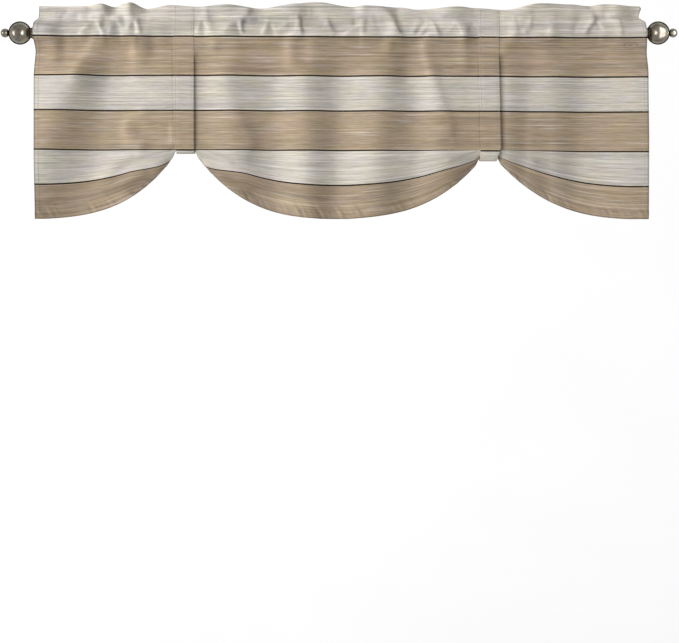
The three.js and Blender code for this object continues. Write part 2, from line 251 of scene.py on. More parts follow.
# Wood grain along and across the planks, and how far each kind swings the shade
GRAINS = (
    (Grain(5.0, 120.0, 3.0, 0.55), 0.18),
    (Grain(1.7, 310.0, 1.0, 0.5), 0.92),
    (Grain(12.0, 400.0, 2.0, 0.5), 0.58),
    (Grain(34.0, 480.0, 1.0, 0.5), 0.56),
    (Grain(4.0, 9.0, 2.0, 0.5), 0.12),
)

# Patches of the wood that are a little warmer or cooler, and the colours that they turn between
TINTS = (
    (Grain(9.0, 26.0, 2.0, 0.5), (0.985, 1.003, 0.99, 1), (1.02, 0.995, 0.985, 1)),
    (Grain(17.0, 42.0, 2.0, 0.5), (1.0, 0.998, 0.94, 1), (1.005, 0.997, 1.04, 1)),
)
TINT_EDGE = (0.32, 0.68)

# Streaks where the tan is worn through to the pale wood, and how the plank lines wander
WORN_GRAIN = Grain(10.0, 390.0, 1.0, 0.5)
WORN_THROUGH = (0.58, 0.74, 0.0, 0.6)
WANDER_GRAIN = Grain(22.0, 3.0, 2.0, 0.5)

# Weave and uneven threads of the cloth, and how much of the print shows on its reverse
WEAVE_BUMP = 0.25
WEAVE_DEPTH = 0.00012
SLUB_GRAIN = Grain(70.0, 900.0, 2.0, 0.5)
SLUB_SHADES = (0.2, 0.8, 0.95, 1.05)
PRINT_SHOWS_THROUGH = 0.22
TUFT_SCALE = 900.0
TUFT_SHADES = (0.3, 0.7, 0.82, 1.12)

# Patina on the metals, its blotches and specks, the finials' dark grooves by place along the rod and reach,
# and a reflection painted into their colour, a bright ring and a dark rim by how they face the camera
PEWTER_PATINA = 0.75
ROD_PATINA = 0.2
BLOTCH_SCALE = 85.0
BLOTCH_DETAIL = 4.0
SPECK_SCALE = 420.0
SPECK_SHARE = 0.35
PATINA_EDGE = (0.40, 0.66)
POLISHED_ROUGHNESS = 0.25
PATINA_ROUGHNESS = 0.14
PEWTER_GROOVES = ((FINIAL_CREASE, 0.004), (FINIAL_LOW.x, 0.005))
GROOVE_CORE = 0.3
GROOVE_DARK = 0.95
PAINTED_REFLECTION_RING = (0.24, 0.44, 1.0, 2.1)
PAINTED_REFLECTION_RIM = (0.50, 0.64, 1.0, 0.10)
MIRRORED_TINT = (0.16, 0.14, 0.11, 1)

# Each tie: its middle and how far it leans aside below, the outside of its lower turn and that turn's edges,
# the top of the cloth bunched in it, and the swags beside it: how they fall and how much cloth is rolled away
TIES = (
    Tie("left", -0.335, 0, -0.259, -0.351, -0.312, -0.234,
        Swag(0.560, 5.47, 0.084, 0.100), Swag(0.391, 3.62, 0.100, 0.115)),
    Tie("right", 0.3225, 0.005, -0.275, 0.304, 0.341, -0.250,
        Swag(0.475, 4.36, 0.038, 0.080), Swag(0.378, 3.18, 0.018, 0.060)),
)

# Header ruffle along the top edge: height above HEADER_TOP and depth towards the viewer
HEADER_FOLDS = (
    HeaderFold(-0.647, 0.001, 0.000),
    HeaderFold(-0.590, 0.001, -0.003),
    HeaderFold(-0.544, 0.001, 0.001),
    HeaderFold(-0.513, 0.006, 0.006),
    HeaderFold(-0.484, 0.000, -0.004),
    HeaderFold(-0.451, 0.009, 0.006),
    HeaderFold(-0.414, -0.004, -0.005),
    HeaderFold(-0.364, 0.004, 0.000),
    HeaderFold(-0.302, 0.000, 0.000),
    HeaderFold(-0.244, 0.005, 0.006),
    HeaderFold(-0.170, -0.003, -0.006),
    HeaderFold(-0.091, 0.007, 0.003),
    HeaderFold(-0.052, 0.010, 0.006),
    HeaderFold(0.032, 0.000, -0.005),
    HeaderFold(0.054, 0.003, 0.004),
    HeaderFold(0.129, -0.001, -0.004),
    HeaderFold(0.170, -0.006, -0.002),
    HeaderFold(0.259, 0.000, 0.003),
    HeaderFold(0.296, -0.003, 0.000),
    HeaderFold(0.358, -0.007, 0.000),
    HeaderFold(0.436, 0.007, 0.006),
    HeaderFold(0.498, 0.005, 0.001),
    HeaderFold(0.537, 0.002, -0.006),
    HeaderFold(0.570, 0.005, 0.003),
    HeaderFold(0.651, 0.001, 0.000),
)

# Crests and troughs of the hanging body: place and depth towards the viewer below the pocket and at the hem
BODY_FOLDS = (
    BodyFold(-0.658, -0.800, -0.002, 0.000),
    BodyFold(-0.560, -0.705, 0.009, 0.012),
    BodyFold(-0.484, -0.538, -0.011, -0.014),
    BodyFold(-0.368, -0.368, 0.000, 0.000),
    BodyFold(-0.298, -0.298, 0.000, 0.000),
    BodyFold(-0.246, -0.214, 0.007, 0.006),
    BodyFold(-0.142, -0.142, -0.006, -0.003),
    BodyFold(-0.075, -0.067, 0.005, 0.009),
    BodyFold(0.006, -0.004, -0.008, -0.003),
    BodyFold(0.093, 0.075, 0.006, 0.009),
    BodyFold(0.168, 0.157, -0.006, -0.003),
    BodyFold(0.215, 0.233, 0.001, 0.007),
    BodyFold(0.292, 0.292, 0.000, 0.000),
    BodyFold(0.362, 0.362, 0.000, 0.000),
    BodyFold(0.416, 0.404, -0.006, -0.006),
    BodyFold(0.459, 0.459, -0.001, -0.014),
    BodyFold(0.541, 0.515, -0.010, -0.020),
    BodyFold(0.669, 0.669, 0.003, -0.008),
)

# How far the side edges are drawn in at each height, from the header down
EDGE_INSETS = (
    EdgeInset(0.056, 0.012, 0.018),
    EdgeInset(0.033, 0.011, 0.024),
    EdgeInset(0.020, 0.001, 0.010),
    EdgeInset(0.000, 0.000, 0.008),
    EdgeInset(-0.037, 0.004, 0.006),
    EdgeInset(-0.090, 0.000, 0.002),
    EdgeInset(-0.250, 0.001, 0.000),
    EdgeInset(-0.390, 0.003, 0.000),
)

# Ridges and troughs placed on the cloth: height towards the viewer, how wide the left and right flanks are,
# and the places along the line, from its upper end down
CREASES = (
    # Header ruffles
    (0.0020, 0.02, 0.01, -0.509, 0.060, -0.507, 0.034),
    (0.0025, 0.014, 0.009, -0.453, 0.063, -0.455, 0.050, -0.451, 0.032),
    (0.0007, 0.006, 0.006, -0.550, 0.052, -0.593, 0.032),
    (-0.0011, 0.008, 0.006, -0.565, 0.039, -0.565, 0.028),
    (0.0017, 0.01, 0.006, -0.287, 0.050, -0.285, 0.030, -0.276, 0.015),
    (0.0030, 0.02, 0.008, -0.196, 0.054, -0.201, 0.039, -0.218, 0.028, -0.239, 0.019),
    (-0.0039, 0.022, 0.022, -0.060, 0.063, -0.060, 0.037),
    (0.0023, 0.016, 0.007, 0.088, 0.056, 0.106, 0.041, 0.119, 0.024, 0.125, 0.006, 0.132, -0.006),
    (-0.0016, 0.008, 0.01, 0.125, 0.054, 0.127, 0.028),
    (0.0039, 0.036, 0.026, 0.244, 0.056, 0.231, 0.032),
    (0.0030, 0.034, 0.02, 0.399, 0.054, 0.386, 0.028),
    (0.0025, 0.014, 0.008, 0.528, 0.060, 0.541, 0.047, 0.545, 0.032),
    (0.0030, 0.014, 0.03, 0.599, 0.058, 0.597, 0.032),
    # Gathers in the pocket, each fork as a ridge and the trough beside it
    (0.0013, 0.024, 0.022, -0.623, 0.019, -0.630, -0.004),
    (-0.0016, 0.012, 0.018, -0.589, 0.028, -0.606, 0.004),
    (0.0016, 0.007, 0.014, -0.533, 0.028, -0.541, 0.017, -0.554, -0.002),
    (-0.0020, 0.014, 0.0045, -0.528, 0.024, -0.520, 0.011, -0.513, -0.004),
    (0.0013, 0.004, 0.008, -0.526, 0.026, -0.509, -0.002),
    (-0.0016, 0.007, 0.006, -0.505, 0.032, -0.509, 0.011),
    (0.0018, 0.006, 0.009, -0.485, 0.030, -0.492, 0.015, -0.496, -0.004),
    (-0.0015, 0.01, 0.005, -0.479, 0.019, -0.472, -0.002),
    (-0.0016, 0.008, 0.005, -0.464, 0.032, -0.461, 0.019),
    (0.0014, 0.006, 0.008, -0.444, 0.028, -0.453, 0.011),
    (-0.0014, 0.008, 0.004, -0.442, 0.019, -0.440, -0.002),
    (0.0020, 0.005, 0.005, -0.436, 0.026, -0.431, 0.011, -0.429, 0.000),
    (-0.0010, 0.005, 0.005, -0.429, 0.032, -0.416, 0.028),
    (0.0011, 0.0045, 0.008, -0.298, 0.030, -0.306, 0.004),
    (-0.0014, 0.008, 0.005, -0.293, 0.022, -0.289, -0.002),
    (0.0018, 0.009, 0.016, -0.220, 0.026, -0.235, 0.015, -0.250, 0.000),
    (-0.0015, 0.01, 0.004, -0.218, 0.019, -0.211, -0.002),
    (0.0018, 0.004, 0.005, -0.212, 0.022, -0.209, 0.000),
    (-0.0010, 0.006, 0.006, -0.203, 0.026, -0.177, 0.028),
    (0.0014, 0.006, 0.007, -0.153, 0.028, -0.162, 0.000),
    (-0.0011, 0.007, 0.004, -0.147, 0.017, -0.141, -0.002),
    (0.0014, 0.006, 0.012, -0.101, 0.028, -0.114, 0.019, -0.127, 0.006),
    (0.0022, 0.008, 0.005, -0.088, 0.032, -0.086, 0.015, -0.082, -0.002),
    (0.0014, 0.009, 0.006, -0.026, 0.028, -0.019, 0.011, -0.011, 0.000),
    (0.0011, 0.005, 0.01, 0.054, 0.024, 0.034, 0.011, 0.013, -0.006),
    (-0.0014, 0.005, 0.005, 0.033, 0.028, 0.033, 0.017),
    (-0.0014, 0.006, 0.006, 0.060, 0.026, 0.058, 0.004),
    (0.0026, 0.014, 0.012, 0.119, 0.011, 0.112, -0.011, 0.106, -0.032),
    (0.0014, 0.006, 0.006, 0.172, 0.026, 0.160, 0.002),
    (0.0013, 0.005, 0.006, 0.188, 0.015, 0.175, -0.004),
    (0.0016, 0.008, 0.007, 0.192, 0.026, 0.205, 0.011, 0.213, -0.006),
    (0.0010, 0.004, 0.005, 0.250, 0.024, 0.237, 0.006),
    (0.0020, 0.011, 0.01, 0.259, 0.019, 0.270, 0.004, 0.270, -0.009),
    (0.0015, 0.009, 0.012, 0.375, 0.015, 0.375, -0.004),
    (0.0014, 0.005, 0.007, 0.412, 0.026, 0.399, 0.002),
    (0.0018, 0.01, 0.014, 0.457, 0.024, 0.457, -0.006),
    (-0.0010, 0.004, 0.005, 0.459, 0.026, 0.472, 0.034, 0.520, 0.032),
    (-0.0011, 0.008, 0.006, 0.515, 0.026, 0.505, 0.004),
    (0.0022, 0.008, 0.005, 0.550, 0.028, 0.530, 0.000),
    (-0.0008, 0.006, 0.004, 0.558, 0.019, 0.565, 0.000),
    (0.0018, 0.009, 0.006, 0.584, 0.032, 0.602, 0.024, 0.606, -0.002),
    # Drag lines below the pocket
    (0.0020, 0.022, 0.015, -0.612, -0.013, -0.617, -0.058),
    (-0.0014, 0.014, 0.014, -0.589, -0.011, -0.593, -0.054),
    (0.0040, 0.012, 0.04, -0.522, -0.011, -0.535, -0.037, -0.550, -0.058, -0.567, -0.084),
    (0.0031, 0.011, 0.03, -0.438, -0.009, -0.438, -0.041),
    (0.0017, 0.013, 0.024, -0.438, -0.041, -0.436, -0.091),
    (-0.0024, 0.015, 0.016, -0.401, -0.015, -0.401, -0.041),
    (0.0022, 0.012, 0.012, -0.267, -0.011, -0.270, -0.032),
    (0.0022, 0.03, 0.026, -0.220, -0.024, -0.231, -0.063, -0.248, -0.112),
    (0.0034, 0.013, 0.016, -0.099, -0.009, -0.106, -0.024, -0.103, -0.058),
    (0.0017, 0.012, 0.024, -0.058, -0.026, -0.056, -0.063),
    (-0.0026, 0.022, 0.022, 0.153, -0.026, 0.142, -0.093),
    (0.0031, 0.009, 0.018, 0.192, -0.011, 0.183, -0.024, 0.185, -0.041, 0.192, -0.063, 0.198, -0.091),
    (0.0022, 0.016, 0.014, 0.267, -0.009, 0.270, -0.071),
    (0.0019, 0.012, 0.014, 0.375, -0.006, 0.360, -0.028),
    (0.0020, 0.026, 0.02, 0.453, -0.009, 0.444, -0.032),
    (0.0022, 0.024, 0.022, 0.604, -0.009, 0.597, -0.041),
    # Soft folds of the body, and those running out of the ties
    (0.0042, 0.011, 0.026, -0.427, -0.175, -0.451, -0.188, -0.461, -0.207, -0.451, -0.231, -0.431, -0.244),
    (-0.0034, 0.022, 0.022, -0.425, -0.209, -0.375, -0.218),
    (0.0030, 0.026, 0.018, -0.433, -0.254, -0.476, -0.285, -0.502, -0.317),
    (0.0030, 0.04, 0.018, -0.220, -0.183, -0.201, -0.213, -0.194, -0.244, -0.205, -0.267),
    (0.0027, 0.034, 0.014, 0.198, -0.091, 0.218, -0.144, 0.237, -0.192, 0.237, -0.218,
     0.209, -0.233, 0.175, -0.241, 0.155, -0.257),
    (0.0019, 0.009, 0.009, -0.360, -0.252, -0.429, -0.272),
    (0.0017, 0.009, 0.009, -0.306, -0.254, -0.237, -0.300),
    (0.0017, 0.009, 0.009, 0.300, -0.263, 0.237, -0.287),
    (0.0017, 0.009, 0.009, 0.356, -0.265, 0.420, -0.291),
)
CREASE_FADE_AT_TIE = 0.012
SLACK_FADE_AT_TIE = 0.035
CORNER_DROP = 0.006
CORNER_REACH = 0.009

# Shade painted into the cloth's colour in hollows that little light reaches, in gathers, beside the ties and
# under the rolled hem: how dark, with widths and places as above
SHADE_PAINTED_IN_HOLLOWS = (
    (0.16, 0.012, 0.012, -0.535, 0.019, -0.535, -0.002),
    (0.20, 0.006, 0.005, -0.507, 0.032, -0.511, 0.009),
    (0.13, 0.006, 0.006, -0.484, 0.019, -0.483, -0.002),
    (0.16, 0.008, 0.006, -0.468, 0.030, -0.466, 0.022),
    (0.10, 0.006, 0.005, -0.446, 0.017, -0.446, 0.000),
    (0.24, 0.004, 0.005, -0.427, 0.030, -0.432, 0.024, -0.427, 0.006),
    (0.13, 0.01, 0.012, -0.500, 0.058, -0.498, 0.028),
    (0.19, 0.006, 0.014, -0.446, 0.060, -0.444, 0.034),
    (0.06, 0.01, 0.01, -0.597, 0.026, -0.614, 0.006),
    (0.10, 0.005, 0.006, -0.298, 0.019, -0.295, -0.002),
    (0.13, 0.008, 0.006, -0.272, 0.043, -0.280, 0.028),
    (0.13, 0.012, 0.012, -0.222, 0.019, -0.235, 0.000),
    (0.10, 0.005, 0.006, -0.207, 0.024, -0.207, 0.002),
    (0.16, 0.005, 0.006, -0.201, 0.026, -0.177, 0.028),
    (0.13, 0.01, 0.012, -0.192, 0.054, -0.183, 0.028),
    (0.13, 0.005, 0.005, -0.152, 0.019, -0.152, -0.002),
    (0.08, 0.012, 0.01, -0.112, 0.011, -0.119, 0.000),
    (0.10, 0.005, 0.007, -0.082, 0.028, -0.080, 0.004),
    (0.10, 0.02, 0.018, -0.084, 0.060, -0.080, 0.041),
    (0.13, 0.006, 0.006, -0.019, 0.024, -0.013, 0.000),
    (0.13, 0.005, 0.005, 0.033, 0.026, 0.033, 0.017),
    (0.16, 0.007, 0.006, 0.060, 0.026, 0.058, 0.004),
    (0.16, 0.007, 0.008, 0.110, 0.052, 0.123, 0.024, 0.132, -0.002),
    (0.13, 0.004, 0.004, 0.170, 0.017, 0.164, 0.000),
    (0.10, 0.004, 0.004, 0.188, 0.006, 0.181, -0.004),
    (0.16, 0.005, 0.006, 0.209, 0.013, 0.216, -0.004),
    (0.10, 0.025, 0.02, 0.250, 0.054, 0.282, 0.032),
    (0.13, 0.005, 0.005, 0.278, 0.017, 0.276, 0.004),
    (0.16, 0.005, 0.006, 0.414, 0.019, 0.405, -0.002),
    (0.10, 0.004, 0.004, 0.468, 0.034, 0.520, 0.032),
    (0.13, 0.008, 0.007, 0.513, 0.024, 0.505, 0.004),
    (0.12, 0.006, 0.008, 0.533, 0.058, 0.543, 0.045, 0.552, 0.032),
    (0.11, 0.005, 0.006, 0.548, 0.024, 0.537, 0.000),
    (0.11, 0.024, 0.03, 0.617, 0.056, 0.627, 0.032),
    (0.08, 0.016, 0.02, 0.619, 0.024, 0.632, 0.000),
    (0.04, 0.012, 0.012, -0.602, -0.019, -0.606, -0.052),
    (0.32, 0.016, 0.016, -0.369, -0.291, -0.407, -0.317, -0.446, -0.338),
    (0.22, 0.014, 0.014, -0.278, -0.298, -0.239, -0.321, -0.201, -0.347),
    (0.16, 0.014, 0.014, 0.291, -0.287, 0.250, -0.317, 0.196, -0.343),
    (0.13, 0.014, 0.014, 0.360, -0.289, 0.401, -0.313, 0.455, -0.338),
    (0.12, 0.02, 0.02, 0.045, -0.371, 0.110, -0.351),
    (0.36, 0.003, 0.007, -0.310, -0.041, -0.310, -0.250),
    (0.32, 0.003, 0.006, 0.348, -0.052, 0.351, -0.144, 0.353, -0.254),
    (0.14, 0.0025, 0.0025, -0.360, -0.037, -0.356, -0.244),
    (0.24, 0.009, 0.012, -0.502, -0.345, -0.468, -0.334, -0.440, -0.319, -0.416, -0.302),
    (0.14, 0.012, 0.012, -0.244, -0.313, -0.213, -0.330, -0.188, -0.345),
    (0.09, 0.02, 0.02, -0.369, -0.263, -0.472, -0.282),
    (0.09, 0.02, 0.02, -0.295, -0.263, -0.166, -0.289),
    (0.10, 0.02, 0.02, 0.291, -0.267, 0.166, -0.287),
    (0.10, 0.02, 0.02, 0.364, -0.270, 0.487, -0.291),
    (0.20, 0.0025, 0.0025, 0.301, -0.058, 0.304, -0.134, 0.306, -0.248),
)

# Shade painted along thin creases of the gathers and, where below nought, light painted on their crests:
# how dark, and the places along the line
THIN_WIDTH = 0.0028
PAINTED_GATHER_LINES = (
    (0.30, -0.205, 0.024, -0.209, 0.015, -0.207, 0.002),
    (0.30, -0.081, 0.026, -0.082, 0.013, -0.078, 0.004),
    (0.28, 0.121, 0.024, 0.125, 0.011, 0.132, 0.000),
    (0.20, -0.022, 0.024, -0.013, 0.006),
    (0.18, 0.205, 0.019, 0.216, 0.000),
    (0.18, 0.166, 0.000, 0.181, 0.024),
    (0.18, 0.278, 0.004, 0.287, 0.022),
    (0.22, 0.535, 0.003, 0.552, 0.022),
    (-0.17, -0.533, 0.025, -0.559, -0.002),
    (-0.20, -0.522, 0.024, -0.510, -0.002),
    (-0.20, -0.483, 0.030, -0.490, 0.013, -0.498, -0.002),
    (-0.17, -0.479, 0.025, -0.471, 0.013),
    (-0.17, -0.445, 0.025, -0.456, 0.010),
    (-0.23, -0.439, 0.022, -0.435, 0.008, -0.436, -0.002),
    (-0.17, -0.298, 0.028, -0.308, 0.000),
    (-0.20, -0.291, 0.024, -0.278, 0.000),
    (-0.14, -0.250, 0.000, -0.237, 0.017, -0.222, 0.024),
    (-0.14, -0.220, 0.019, -0.211, 0.000),
    (-0.23, -0.166, -0.002, -0.153, 0.024),
    (-0.14, -0.149, 0.019, -0.138, 0.006),
    (-0.14, -0.129, 0.009, -0.108, 0.024),
    (-0.20, -0.097, -0.002, -0.091, 0.024),
    (-0.14, -0.037, 0.002, -0.026, 0.024),
    (-0.17, 0.013, -0.002, 0.041, 0.015, 0.047, 0.024),
    (-0.14, 0.162, 0.006, 0.177, 0.024),
    (-0.14, 0.175, -0.002, 0.190, 0.015),
    (-0.17, 0.192, -0.002, 0.207, 0.000, 0.205, 0.013, 0.196, 0.024),
    (-0.14, 0.239, 0.006, 0.252, 0.024),
    (-0.20, 0.254, 0.019, 0.263, -0.002),
    (-0.12, 0.289, 0.022, 0.300, 0.006),
    (-0.14, 0.405, 0.006, 0.414, 0.024, 0.425, 0.022),
    (-0.14, 0.444, -0.006, 0.457, 0.013),
    (-0.14, 0.526, 0.009, 0.545, 0.025),
    (-0.17, 0.556, 0.024, 0.565, 0.009),
    (-0.14, 0.602, 0.024, 0.606, 0.006),
)

# Small uneven pleats around the header stitch. Of three, two run down and one less far up, and two are ridges
# and one is a trough
PLEAT_COUNT = 50
PLEAT_SEED = 11
PLEAT_HEIGHT = 0.0006
PLEAT_WIDTHS = (0.0036, 0.0062)
PLEAT_DROPS = (0.010, 0.034)
PLEAT_LEAN = 0.012
PLEAT_WAYS = (1, 1, -0.6)
PLEAT_SHARES = (0.3, 1)
PLEAT_SIDES = (1, 1, -1)

# Collar's outline from the rod outwards: share of its length, and radius
COLLAR_OUTLINE = (
    Stop(0.00, COLLAR_RADIUS - 0.0008),
    Stop(0.04, COLLAR_RADIUS),
    Stop(0.58, COLLAR_RADIUS),
    Stop(0.63, COLLAR_RADIUS - 0.0005),
    Stop(0.70, COLLAR_RADIUS * 0.92),
    Stop(0.76, COLLAR_NECK_RADIUS * 1.09),
    Stop(0.82, COLLAR_NECK_RADIUS * 1.02),
    Stop(0.90, COLLAR_NECK_RADIUS),
    Stop(0.97, COLLAR_NECK_RADIUS * 1.02),
    Stop(1.00, COLLAR_NECK_RADIUS * 0.98),
)


def colour_setting(name, description, *colour):
    return bpy.props.FloatVectorProperty(
        name=name, description=description, subtype="COLOR", size=4, min=0, max=1, default=(*colour, 1))


def length_setting(name, description, default, least):
    return bpy.props.FloatProperty(
        name=name, description=description, unit="LENGTH", precision=5, min=least, default=default)


def angle_setting(name, description, degrees):
    return bpy.props.FloatProperty(
        name=name, description=description, subtype="ANGLE", default=math.radians(degrees))


def strength_setting(name, description, default):
    return bpy.props.FloatProperty(name=name, description=description, min=0, default=default)


class ValanceSettings(bpy.types.PropertyGroup):
    """Sizes and colours of the valance that a user would change."""

    pale_plank: colour_setting("Pale plank", "Off-white planks of the print", 0.665, 0.624, 0.567)
    tan_plank: colour_setting("Tan plank", "Light brown planks of the print", 0.47, 0.37, 0.268)
    plank_gap: colour_setting("Plank gap", "Dark lines between the planks", 0.010, 0.006, 0.002)
    cloth_reverse: colour_setting("Cloth reverse", "Unprinted back of the cloth", 0.66, 0.63, 0.58)
    thread: colour_setting("Thread", "Sewing thread", 0.47, 0.41, 0.33)
    pewter_polish: colour_setting("Pewter polish", "Rubbed high spots of the finials", 0.62, 0.56, 0.475)
    pewter_patina: colour_setting("Pewter patina", "Grooves and blotches of the finials", 0.20, 0.17, 0.13)
    rod_steel: colour_setting("Rod steel", "Plated steel of the rod", 0.42, 0.40, 0.37)
    weave_pitch: length_setting("Weave pitch", "Distance between two threads of the cloth", 0.0007, 0.0002)
    stitch_length: length_setting("Stitch length", "Length of one sewing stitch", 0.0028, 0.001)
    stitch_spacing: length_setting("Stitch spacing", "Distance from one stitch to the next", 0.0036, 0.001)
    thread_radius: length_setting("Thread radius", "Half the width of the sewing thread", 0.00035, 0.0001)


class StageSettings(bpy.types.PropertyGroup):
    """Camera, light and backdrop around the valance."""

    camera_distance: length_setting("Camera distance", "From the lens to the rod", 5, 1)
    floor_drop: length_setting("Floor drop", "How far the floor lies below the rod", 2, 0.6)
    key_strength: strength_setting("Key strength", "Light that the key gives the rod's middle, face on", 3.32)
    key_turn: angle_setting("Key turn", "How far the key light stands to the left of the camera", 66)
    key_rise: angle_setting("Key rise", "How high the key light stands", 5)
    key_distance: length_setting("Key distance", "From the key light to the rod's middle", 9, 2)
    key_size: length_setting("Key size", "Width and height of the key light", 3.2, 0.1)
    fill_strength: strength_setting("Fill strength", "Even light from all round", 0.40)
    backdrop_glow: strength_setting("Backdrop glow", "Light that the pale backdrop gives itself", 0.45)


# Small helpers for shapes

def lerp(start, end, share):
    """Value a share of the way from a start to an end."""
    return start + (end - start) * share


def smoothstep(value, low, high):
    """From nought at the low value to one at the high value, level at both."""
    share = np.clip((value - low) / (high - low), 0, 1)
    return share * share * (3 - 2 * share)


def eased(at, places, values):
    """Value of a table between its rows, eased so that each row is a crest or a trough."""
    result = values[0]
    for low, high, before, after in zip(places, places[1:], values, values[1:]):
        result = result + (after - before) * smoothstep(at, low, high)
    return result


def header_rise(x):
    """Height of the header's edge above HEADER_TOP, with its right corner dropped."""
    rise = eased(x, [fold.x for fold in HEADER_FOLDS], [fold.rise for fold in HEADER_FOLDS])
    return rise - CORNER_DROP * np.clip(1 - (CLOTH_RIGHT - x) / CORNER_REACH, 0, 1) ** 2


def header_depth(x):
    """Depth of the header's edge towards the viewer."""
    return eased(x, [fold.x for fold in HEADER_FOLDS], [fold.depth for fold in HEADER_FOLDS])


def body_depth(x, z):
    """Depth of the body's folds towards the viewer at a height, growing from the pocket seam down."""
    fall = np.clip((POCKET_SEAM - z) / (POCKET_SEAM - HEM), 0, 1)
    places = [lerp(fold.top, fold.foot, fall) for fold in BODY_FOLDS]
    depths = [lerp(fold.top_depth, fold.foot_depth, fall) for fold in BODY_FOLDS]
    grown = smoothstep(POCKET_SEAM - z, 0, FOLD_FULL_BELOW_SEAM)
    return eased(x, places, depths) * lerp(FOLD_AT_SEAM, 1, grown)


def drawn_in(x, z):
    """Place along the rod once the side edges are drawn in, most at the edge itself."""
    heights = [-inset.z for inset in EDGE_INSETS]
    left = eased(-z, heights, [inset.left for inset in EDGE_INSETS])
    right = eased(-z, heights, [inset.right for inset in EDGE_INSETS])
    left_fade = np.maximum(0, 1 - (x - CLOTH_LEFT) / EDGE_REACH) ** 2
    right_fade = np.maximum(0, 1 - (CLOTH_RIGHT - x) / EDGE_REACH) ** 2
    return x + left * left_fade - right * right_fade


def beside_tie(x):
    """Distance along the rod from the nearest tie's sewn edge, nought under a tie."""
    return np.minimum(*[np.maximum(0, np.abs(x - tie.x) - TIE_WIDTH / 2) for tie in TIES])


def from_tie(tie, x):
    """Distance along the rod from the edges of a tie's lower turn, nought between them."""
    left, right = tie.foot_left - TIE_SIDE_GAP - x, x - tie.foot_right - TIE_SIDE_GAP
    return np.maximum(0, np.maximum(left, right))


def off_middle(tie, x):
    """Distance from the middle of a tie's lower turn, as a share of half that turn's width."""
    return np.abs(2 * x - tie.foot_left - tie.foot_right) / (tie.foot_right - tie.foot_left)


def swag_foot(x):
    """Lowest line of the cloth: held up at the ties, swagging to the hem between and beside them."""
    heights = []
    for tie in TIES:
        held = tie.bottom + TIE_THICKNESS + TIE_SEAT + CLOTH_THICKNESS / 2
        reach = np.where(x < tie.x, tie.left.reach, tie.right.reach)
        roundness = np.where(x < tie.x, tie.left.roundness, tie.right.roundness)
        rest = np.maximum(0, 1 - from_tie(tie, x) / reach)
        shoulder = SWAG_SHOULDER * rest * smoothstep(from_tie(tie, x), 0, SWAG_SHOULDER_REACH)
        heights.append(np.maximum(HEM, lerp(HEM, held, rest**roundness) - shoulder))
    return np.maximum(*heights)


def rolled_away(x):
    """Length of cloth that is rolled out of sight at the lower edge, most at the ties."""
    total = 0
    for tie in TIES:
        to_right = smoothstep(x, tie.foot_left, tie.foot_right)
        hidden = lerp(tie.left.hidden, tie.right.hidden, to_right)
        reach = lerp(tie.left.hidden_reach, tie.right.hidden_reach, to_right)
        total = total + hidden * np.maximum(0, 1 - from_tie(tie, x) / reach) ** ROLL_EASE
    return total


# Cloth panel

def cloth_columns():
    """Places along the rod where the cloth is worked out, closer together at the side hems."""
    hem = np.array(SIDE_HEM_STEPS)
    inner = np.linspace(CLOTH_LEFT + SIDE_HEM_REACH, CLOTH_RIGHT - SIDE_HEM_REACH, INNER_COLUMNS)
    return np.concatenate([CLOTH_LEFT + hem, inner, (CLOTH_RIGHT - hem)[::-1]])[:, None]


def pocket_radius(x):
    """Radius of the pocket around the rod, puffed out at its ends and under the header's forward folds."""
    snug = ROD_RADIUS + CLOTH_THICKNESS / 2 + ROD_CLEARANCE
    from_end = np.minimum(x - CLOTH_LEFT, CLOTH_RIGHT - x)
    puff = END_PUFF * (1 - smoothstep(from_end, 0, END_PUFF_REACH))
    return snug + puff + FOLD_PUFF * np.maximum(0, header_depth(x))


def pocket_layer(x, side, rows=POCKET_ROWS):
    """One layer of the pocket from the header stitch to the seam: straight to the rod, round it and on."""
    straight_rows, arc_rows = rows
    radius = pocket_radius(x)
    upper = np.arccos(radius / HEADER_STITCH)
    lower = np.pi - np.arccos(radius / -POCKET_SEAM)
    down = np.linspace(0, 1, straight_rows + 1)
    angle = lerp(upper, lower, np.linspace(0, 1, arc_rows + 1))
    y = np.hstack([
        (radius * np.sin(upper)) * down[:-1],
        radius * np.sin(angle),
        lerp(radius * np.sin(lower), 0, down[1:]),
    ])
    z = np.hstack([
        lerp(HEADER_STITCH, radius * np.cos(upper), down[:-1]),
        radius * np.cos(angle),
        lerp(radius * np.cos(lower), POCKET_SEAM, down[1:]),
    ])
    swell = HALF_LAYER + y * (radius - HALF_LAYER) / radius
    hang = np.clip(z / POCKET_SEAM, 0, 1) ** 2
    return side * swell - body_depth(x, POCKET_SEAM) * hang, z


def header_layer(x, side, rows=HEADER_ROWS):
    """One layer of the header from just above its stitch to just below its fold."""
    top = HEADER_TOP + header_rise(x) - HALF_LAYER
    share = np.linspace(0, 1, rows + 1)[1:]
    z = lerp(HEADER_STITCH, top, share)
    return side * HALF_LAYER - header_depth(x) * share, z


def swag_shares():
    """Shares of the drawn-up length at which its rows lie, closer together at the hem."""
    length = GATHER_LINE - HEM
    hem = 1 - np.array(HEM_ROW_HEIGHTS) / length
    return np.concatenate([np.linspace(0, hem[0], SWAG_ROWS)[:-1], hem])


